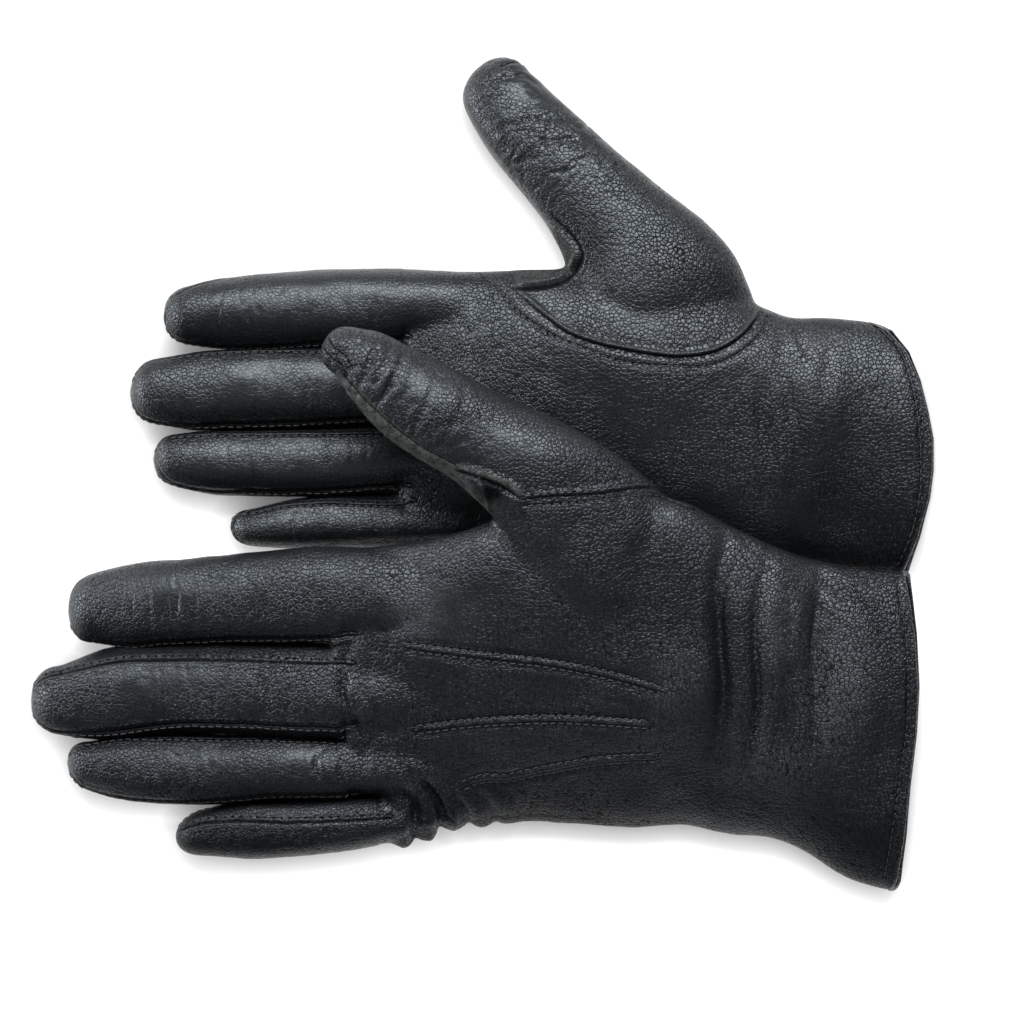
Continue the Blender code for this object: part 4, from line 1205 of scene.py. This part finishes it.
# --- tubes: hem, rim and linings --------------------------------------------------
def tube_mesh(name, rings, closed_end=False):
    """A smooth tube through rings of points, its far end open or closed."""
    count = len(rings[0])
    points = np.vstack(rings)
    faces = tube_faces(len(rings), count)
    if closed_end:
        faces.append(tuple(reversed(range(len(points) - count, len(points)))))
    mesh = make_mesh(name, points, faces)
    mesh.shade_smooth()
    add_rest(mesh, points)
    return mesh


def cuff_ring(glove, inset, trim, count=CUFF_POINTS):
    """Ring round the cuff, `trim` inside its edge and `inset` inside the skin."""
    points = []
    for number in range(count):
        angle = 2 * math.pi * number / count
        x = 120.0
        for _ in range(4):
            point = section_point(hand_section(glove, x), angle, inset)
            x = float(cuff_x(glove, point[None, :])[0]) - trim
        point = section_point(hand_section(glove, x), angle, inset)
        point[2] = max(point[2], glove["floor"] + inset)
        points.append(point)
    return np.array(points)


def make_hem(glove, leather):
    """The rolled edge of the cuff and the leather turned in behind it."""
    name, roll = glove["name"], 0.85
    rings = []
    for turn in np.linspace(-20, 250, 12):
        angle = math.radians(turn)
        rings.append(cuff_ring(glove, roll - roll * math.cos(angle), 0.35 - roll * math.sin(angle)))
    for trim, inset in ((2.0, 1.75), (5.0, 1.9), (9.0, 2.0)):
        rings.append(cuff_ring(glove, inset, trim))
    mesh = tube_mesh(f"{name}_cuff_hem_leather", rings)
    hem = add_object(mesh.name, mesh, leather, [f"{name}_cuff_hem"])
    place(hem, glove, "hand")


def slimmer(section, inset):
    """A ring inside a section of a finger or the thumb."""
    centre, side, half_width, half_height, lean = section
    return ring(centre, side, half_width - inset, half_height - inset, lean, LINING_POINTS)


def hand_lining_rings(glove):
    """Rings from inside the cuff's edge to near the fingers."""
    rings = [cuff_ring(glove, inset, trim) for inset, trim in ((1.9, 8.6), (2.9, 9.0), (4.2, 14.0))]
    for x in np.arange(100, min(glove["hand"])[0] + 8, -5.0):
        centre, side, half_width, half_height, lean = hand_section(glove, x)
        loop = ring(centre, side, half_width - 2.7, half_height * 0.42, lean, CUFF_POINTS)
        loop[:, 2] = np.maximum(loop[:, 2], glove["floor"] + 2.4)
        rings.append(loop)
    return rings


def make_linings(glove, knit):
    """The knitted glove inside: a tube in the hand, in each finger and in the thumb."""
    tubes = {"hand": hand_lining_rings(glove)}
    for part, finger in glove["fingers"].items():
        stations = np.linspace(finger["web"][0] + 6, min(finger["rows"])[0], 14)
        tubes[part] = [slimmer(finger_section(finger, x), 2.6) for x in stations]
    thumb = glove["thumb"]
    stations = np.linspace(thumb["blend"][0], thumb["rows"][-1][0], 12)
    tubes["thumb"] = [slimmer(thumb_section(thumb, distance), 2.8) for distance in stations]
    for part, rings in tubes.items():
        name = f"{glove['name']}_{part}_lining"
        mesh = tube_mesh(f"{name}_knit", rings, True)
        place(add_object(mesh.name, mesh, knit, [name]), glove, part)


# --- materials ------------------------------------------------------------------
class Nodes:
    """Short calls for building a node tree."""

    def __init__(self, name):
        self.material = bpy.data.materials.new(name)
        self.material.use_nodes = True
        self.tree = self.material.node_tree
        self.shader = self.tree.nodes["Principled BSDF"]

    def add(self, kind, **settings):
        node = self.tree.nodes.new(kind)
        for key, value in settings.items():
            setattr(node, key, value)
        return node

    def link(self, source, target):
        self.tree.links.new(source, target)

    def maths(self, operation, first, second=0.0, third=0.0):
        node = self.add("ShaderNodeMath", operation=operation)
        for socket, value in zip(node.inputs, (first, second, third)):
            if isinstance(value, (int, float)):
                socket.default_value = value
            else:
                self.link(value, socket)
        return node.outputs[0]

    def ramp(self, source, stops):
        node = self.add("ShaderNodeValToRGB")
        while len(node.color_ramp.elements) < len(stops):
            node.color_ramp.elements.new(0.5)
        for element, (position, colour) in zip(node.color_ramp.elements, stops):
            element.position = position
            element.color = (*colour, 1.0)
        self.link(source, node.inputs[0])
        return node.outputs[0]

    def noise(self, vector, scale, detail=2.0, roughness=0.5):
        node = self.add("ShaderNodeTexNoise")
        node.inputs["Scale"].default_value = scale
        node.inputs["Detail"].default_value = detail
        node.inputs["Roughness"].default_value = roughness
        self.link(vector, node.inputs["Vector"])
        return node

    def voronoi(self, vector, scale, feature="F1"):
        node = self.add("ShaderNodeTexVoronoi", feature=feature)
        node.inputs["Scale"].default_value = scale
        self.link(vector, node.inputs["Vector"])
        return node

    def relief(self, height, strength, distance):
        """Bump from a height, as the shader's normal."""
        node = self.add("ShaderNodeBump")
        node.inputs["Strength"].default_value = strength
        node.inputs["Distance"].default_value = distance
        self.link(height, node.inputs["Height"])
        self.link(node.outputs["Normal"], self.shader.inputs["Normal"])

    def rest(self):
        """Where each point was cut, which stays the same when the leather bends."""
        return self.add("ShaderNodeAttribute", attribute_name="rest").outputs["Vector"]

    def scaled_add(self, vector, offset, amount):
        node = self.add("ShaderNodeVectorMath", operation="MULTIPLY_ADD")
        self.link(offset, node.inputs[0])
        node.inputs[1].default_value = (amount, amount, amount)
        self.link(vector, node.inputs[2])
        return node.outputs[0]


def bell(nodes, value, width):
    """1 where value is 0, falling to 0 over about `width`."""
    share = nodes.maths("DIVIDE", value, width)
    square = nodes.maths("MULTIPLY", share, share)
    return nodes.maths("EXPONENT", nodes.maths("MULTIPLY", square, -1.0))


def product(nodes, *factors):
    result = factors[0]
    for factor in factors[1:]:
        result = nodes.maths("MULTIPLY", result, factor)
    return result


def attribute_parts(nodes, name):
    attribute = nodes.add("ShaderNodeAttribute", attribute_name=name)
    split = nodes.add("ShaderNodeSeparateXYZ")
    nodes.link(attribute.outputs["Vector"], split.inputs[0])
    return split.outputs


def drawn_seams(nodes):
    """Relief in millimetres and shade (0 to 1) of the seams and rows of stitching."""
    distance, weight, style = attribute_parts(nodes, "line")
    plain = nodes.maths("SUBTRACT", 1.0, style)
    weight = nodes.maths("SMOOTH_MIN", weight, 1.0, 0.1)
    bead = product(nodes, bell(nodes, distance, 0.55), style, weight)
    aside = nodes.maths("SUBTRACT", distance, nodes.maths("MULTIPLY", style, 1.05))
    groove = nodes.maths("MULTIPLY", bell(nodes, aside, 0.32), weight)
    middle = product(nodes, bell(nodes, distance, 0.24), plain, weight)
    groove = nodes.maths("MAXIMUM", groove, middle)
    row, row_weight, along = attribute_parts(nodes, "thread")
    gutter = nodes.maths("MULTIPLY", bell(nodes, row, 0.42), row_weight)
    wave = nodes.maths("COSINE", nodes.maths("MULTIPLY", along, 2 * math.pi / STITCH_PITCH))
    holes = nodes.maths("MULTIPLY", nodes.maths("GREATER_THAN", wave, 0.55), gutter)
    relief = nodes.maths("MULTIPLY", bead, 0.30)
    relief = nodes.maths("MULTIPLY_ADD", groove, -0.26, relief)
    relief = nodes.maths("MULTIPLY_ADD", gutter, -0.12, relief)
    relief = nodes.maths("MULTIPLY_ADD", holes, -0.16, relief)
    thread_shade = nodes.maths("MULTIPLY_ADD", gutter, 0.3, nodes.maths("MULTIPLY", holes, 0.55))
    shade = nodes.maths("MAXIMUM", nodes.maths("MULTIPLY", groove, 0.85), thread_shade)
    return relief, shade, bead


def mixed(nodes, share, first, second):
    """Colour between two colours or sockets."""
    node = nodes.add("ShaderNodeMix", data_type="RGBA")
    for number, value in ((0, share), (6, first), (7, second)):
        socket = node.inputs[number]
        if isinstance(value, tuple):
            socket.default_value = (*value, 1.0)
        elif isinstance(value, float):
            socket.default_value = value
        else:
            nodes.link(value, socket)
    return node.outputs[2]


def leather_material(name, base, worn, roughness=0.27, depth=1.0):
    """Pebble-grained glove leather with drawn seams, raw suede edges and polish."""
    nodes = Nodes(name)
    rest = nodes.rest()
    # The marks' y (deep) holds painted shade above 0 and painted highlight below 0.
    raw, deep, polish = attribute_parts(nodes, "marks")
    wander = nodes.noise(rest, 420.0, 2.0)
    spot = nodes.scaled_add(rest, wander.outputs["Color"], 0.0010)
    edge = nodes.voronoi(spot, PEBBLES, "DISTANCE_TO_EDGE").outputs["Distance"]
    centre = nodes.voronoi(spot, PEBBLES).outputs["Distance"]
    small = nodes.voronoi(spot, FINE_PEBBLES, "DISTANCE_TO_EDGE").outputs["Distance"]
    plateau = nodes.maths("SMOOTH_MIN", edge, 0.17, 0.08)
    dome = nodes.maths("MULTIPLY_ADD", nodes.maths("MULTIPLY", centre, centre), -0.20, plateau)
    patches = nodes.noise(rest, 60.0, 3.0, 0.55).outputs["Fac"]
    pores = nodes.noise(rest, 3200.0, 2.0, 0.6).outputs["Fac"]
    creases = nodes.noise(rest, 420.0, 4.0, 0.65).outputs["Fac"]
    strength = nodes.maths("MULTIPLY_ADD", patches, 1.5, -0.05)
    strength = nodes.maths("MULTIPLY_ADD", polish, -0.42, strength)
    strength = nodes.maths("MINIMUM", nodes.maths("MAXIMUM", strength, 0.2), 1.1)
    grain = nodes.maths("MULTIPLY_ADD", nodes.maths("SMOOTH_MIN", small, 0.2, 0.1), 0.30, dome)
    relief, shade, bead = drawn_seams(nodes)
    height = nodes.maths("MULTIPLY", nodes.maths("MULTIPLY", grain, strength), 0.70 * depth)
    height = nodes.maths("MULTIPLY_ADD", pores, 0.007, height)
    height = nodes.maths("MULTIPLY_ADD", creases, 0.075, height)
    height = nodes.maths("ADD", height, relief)
    nodes.relief(height, 1.0, MM)
    # Painted shade: the cracks between the grain cells are painted darker and reflect less.
    cracks = nodes.maths("SUBTRACT", 1.0, nodes.maths("MULTIPLY", edge, 9.0))
    cracks = nodes.maths("MULTIPLY", cracks, nodes.maths("MULTIPLY", strength, 1.35))
    cracks = nodes.maths("MAXIMUM", cracks, 0.0)
    colour = nodes.ramp(patches, [(0.30, tuple(c * 0.62 for c in base)), (0.52, base), (0.78, worn)])
    # Painted highlight: the crests of beads and ridges are painted paler.
    colour = mixed(nodes, nodes.maths("MULTIPLY", bead, 0.7), colour, tuple(c * 2.2 for c in worn))
    # Painted highlight: below 0 the tops of the grain cells are painted paler grey.
    painted_highlight_share = nodes.maths("MAXIMUM", nodes.maths("MULTIPLY", deep, -1.0), 0.0)
    painted_highlight_share = nodes.maths("MULTIPLY", painted_highlight_share, nodes.maths("MULTIPLY_ADD", patches, 1.6, -0.2))
    on_cells = nodes.maths("MINIMUM", nodes.maths("MULTIPLY", edge, 5.0), 1.0)
    painted_highlight_share = nodes.maths("MULTIPLY", painted_highlight_share, on_cells)
    painted_highlight_share = nodes.maths("MINIMUM", nodes.maths("MAXIMUM", painted_highlight_share, 0.0), 1.0)
    colour = mixed(nodes, painted_highlight_share, colour, (0.046, 0.050, 0.054))
    colour = mixed(nodes, nodes.maths("MULTIPLY", cracks, 0.8), colour, (0.002, 0.002, 0.0022))
    suede = nodes.ramp(creases, [(0.36, (0.006, 0.007, 0.006)), (0.66, (0.044, 0.048, 0.041))])
    colour = mixed(nodes, raw, colour, suede)
    shade = nodes.maths("MAXIMUM", shade, deep)
    colour = mixed(nodes, shade, colour, (0.0010, 0.0010, 0.0012))
    nodes.link(colour, nodes.shader.inputs["Base Color"])
    gloss = nodes.maths("MULTIPLY_ADD", polish, 0.07, roughness)
    gloss = nodes.maths("MULTIPLY_ADD", pores, 0.10, gloss)
    gloss = nodes.maths("MULTIPLY_ADD", cracks, 0.25, gloss)
    gloss = nodes.maths("MULTIPLY_ADD", raw, 0.40, gloss)
    nodes.link(gloss, nodes.shader.inputs["Roughness"])
    keep = nodes.maths("MULTIPLY", nodes.maths("SUBTRACT", 1.0, shade),
                       nodes.maths("MULTIPLY_ADD", cracks, -0.8, 1.0))
    mirror = nodes.maths("MULTIPLY", keep, nodes.maths("MULTIPLY_ADD", polish, 0.04, 0.46))
    nodes.link(mirror, nodes.shader.inputs["Specular IOR Level"])
    nodes.shader.inputs["Specular Tint"].default_value = (0.84, 0.92, 1.0, 1.0)
    nodes.shader.inputs["IOR"].default_value = 1.5
    return nodes.material


def knit_material():
    """Fine knitted lining: small loops in rows."""
    nodes = Nodes("lining_knit")
    rest = nodes.rest()
    wave = nodes.add("ShaderNodeTexWave", wave_type="BANDS", bands_direction="X")
    wave.inputs["Scale"].default_value = 160.0
    wave.inputs["Distortion"].default_value = 2.2
    wave.inputs["Detail Scale"].default_value = 3.0
    nodes.link(rest, wave.inputs["Vector"])
    loops = nodes.voronoi(rest, 700.0).outputs["Distance"]
    fuzz = nodes.noise(rest, 1800.0, 3.0).outputs["Fac"]
    height = nodes.maths("MULTIPLY_ADD", wave.outputs["Fac"], 0.6, nodes.maths("ADD", loops, fuzz))
    nodes.relief(height, 0.8, 0.6 * MM)
    colour = nodes.ramp(height, [(0.3, (0.045, 0.008, 0.010)), (1.0, (0.17, 0.035, 0.040))])
    nodes.link(colour, nodes.shader.inputs["Base Color"])
    nodes.shader.inputs["Roughness"].default_value = 0.92
    nodes.shader.inputs["Sheen Weight"].default_value = 0.25
    return nodes.material


def thread_material():
    """Black sewing thread with a slight twist."""
    nodes = Nodes("thread")
    rest = nodes.rest()
    twist = nodes.noise(rest, 3200.0, 1.0).outputs["Fac"]
    colour = nodes.ramp(twist, [(0.3, (0.006, 0.006, 0.007)), (0.8, (0.024, 0.025, 0.028))])
    nodes.link(colour, nodes.shader.inputs["Base Color"])
    nodes.relief(twist, 0.5, 0.1 * MM)
    nodes.shader.inputs["Roughness"].default_value = 0.55
    return nodes.material


# --- building both gloves ---------------------------------------------------------
LEATHER = {
    "right": leather_material("black_leather_right", (0.0040, 0.0047, 0.0053), (0.0085, 0.0100, 0.0109),
                              0.26, 0.78),
    "left": leather_material("black_leather_left", (0.0038, 0.0045, 0.0057), (0.0085, 0.0098, 0.0122)),
}
SIDE_LEATHER = leather_material("fourchette_leather", (0.0038, 0.0044, 0.0052),
                                (0.0080, 0.0092, 0.0108), 0.36, 0.7)
KNIT = knit_material()
THREAD = thread_material()


def slot_of(node):
    """The material slot of a leather piece."""
    for word, slot in (("fourchette", "fourchette_leather"), ("quirk", "quirk_leather"),
                       ("thumb", "thumb_leather"), ("palm", "palm_leather")):
        if word in node:
            return slot
    return "back_leather"


def build(glove, seed):
    """Makes every piece of one glove."""
    skin = make_skin(glove, seed)
    skin["labels"] = label_faces(glove, skin)
    for node in sorted(set(skin["labels"])):
        side = "fourchette" in node or "quirk" in node
        material = SIDE_LEATHER if side else LEATHER[glove["name"]]
        piece = skin_piece(skin, skin["labels"] == node, f"{node}_leather", material,
                           slot_of(node), [node])
        place(piece, glove, part_of(node, glove))
    sew(glove, skin, THREAD)
    make_hem(glove, LEATHER[glove["name"]])
    make_linings(glove, KNIT)


build(RIGHT, 3)
build(LEFT, 8)


# --- floor, light and camera ------------------------------------------------------
def make_stage():
    """A pale floor that is faintly bright, with a painted shadow close to the gloves where its glow is
    taken away.
    """
    nodes = Nodes("floor")
    nodes.shader.inputs["Base Color"].default_value = (0.28, 0.28, 0.28, 1)
    nodes.shader.inputs["Roughness"].default_value = 0.9
    nodes.shader.inputs["Emission Color"].default_value = (1.0, 1.0, 1.0, 1)
    # Painted shadow: the glow fades where the gloves are near and in the gaps between the fingers.
    open_air = nodes.add("ShaderNodeAmbientOcclusion", samples=8)
    open_air.inputs["Distance"].default_value = 0.009
    level = nodes.maths("MULTIPLY", nodes.maths("POWER", open_air.outputs["AO"], 1.5), 0.98)
    nodes.link(level, nodes.shader.inputs["Emission Strength"])
    mesh = bpy.data.meshes.new("floor")
    size = 3.0
    mesh.from_pydata([(-size, -size, 0), (size, -size, 0), (size, size, 0), (-size, size, 0)],
                     [], [(0, 1, 2, 3)])
    floor = bpy.data.objects.new("floor", mesh)
    floor.location.z = -0.0004
    mesh.materials.append(nodes.material)
    bpy.context.scene.collection.objects.link(floor)


def make_world():
    """A white studio, bright near the horizon and on the thumbs' side, dark overhead."""
    world = bpy.data.worlds.new("studio")
    bpy.context.scene.world = world
    world.use_nodes = True
    tree = world.node_tree
    background = tree.nodes["Background"]
    coordinate = tree.nodes.new("ShaderNodeTexCoord")
    split = tree.nodes.new("ShaderNodeSeparateXYZ")
    ramp = tree.nodes.new("ShaderNodeValToRGB")
    for element, position, level in zip(ramp.color_ramp.elements, (0.0, 0.42), (1.0, 0.04)):
        element.position = position
        element.color = (level, level, level, 1)
    lean = tree.nodes.new("ShaderNodeMapRange")
    for socket, value in zip(lean.inputs[1:5], (-0.6, 0.6, 0.15, 1.0)):
        socket.default_value = value
    tree.links.new(coordinate.outputs["Generated"], split.inputs[0])
    tree.links.new(split.outputs["Z"], ramp.inputs[0])
    tree.links.new(split.outputs["Y"], lean.inputs[0])
    tree.links.new(ramp.outputs[0], background.inputs["Color"])
    tree.links.new(lean.outputs[0], background.inputs["Strength"])


def area_light(name, place, size, power):
    """A rectangular light aimed at the middle of the scene."""
    light = bpy.data.lights.new(name, "AREA")
    light.shape = "RECTANGLE"
    light.size, light.size_y = size
    light.energy = power
    lamp = bpy.data.objects.new(name, light)
    lamp.location = place
    lamp.rotation_euler = (-Vector(place)).to_track_quat("-Z", "Y").to_euler()
    bpy.context.scene.collection.objects.link(lamp)


def make_camera():
    """Straight down on the pair, far off, framing 292 mm."""
    height, frame_width, level = 1.6, 0.2918, 0.018
    camera = bpy.data.cameras.new("camera")
    camera.sensor_width = 36.0
    camera.lens = 36.0 * (height - level) / frame_width
    eye = bpy.data.objects.new("camera", camera)
    eye.location = (0.0083, -0.0110, height)
    bpy.context.scene.collection.objects.link(eye)
    bpy.context.scene.camera = eye


make_stage()
make_world()
area_light("key", (0.03, 0.60, 0.84), (1.2, 0.5), 27.0)
area_light("side", (-0.90, 0.12, 0.20), (0.5, 0.3), 9.0)
area_light("front", (0.10, -0.62, 0.92), (1.0, 0.5), 1.5)
make_camera()
bpy.context.scene.view_settings.view_transform = "Standard"
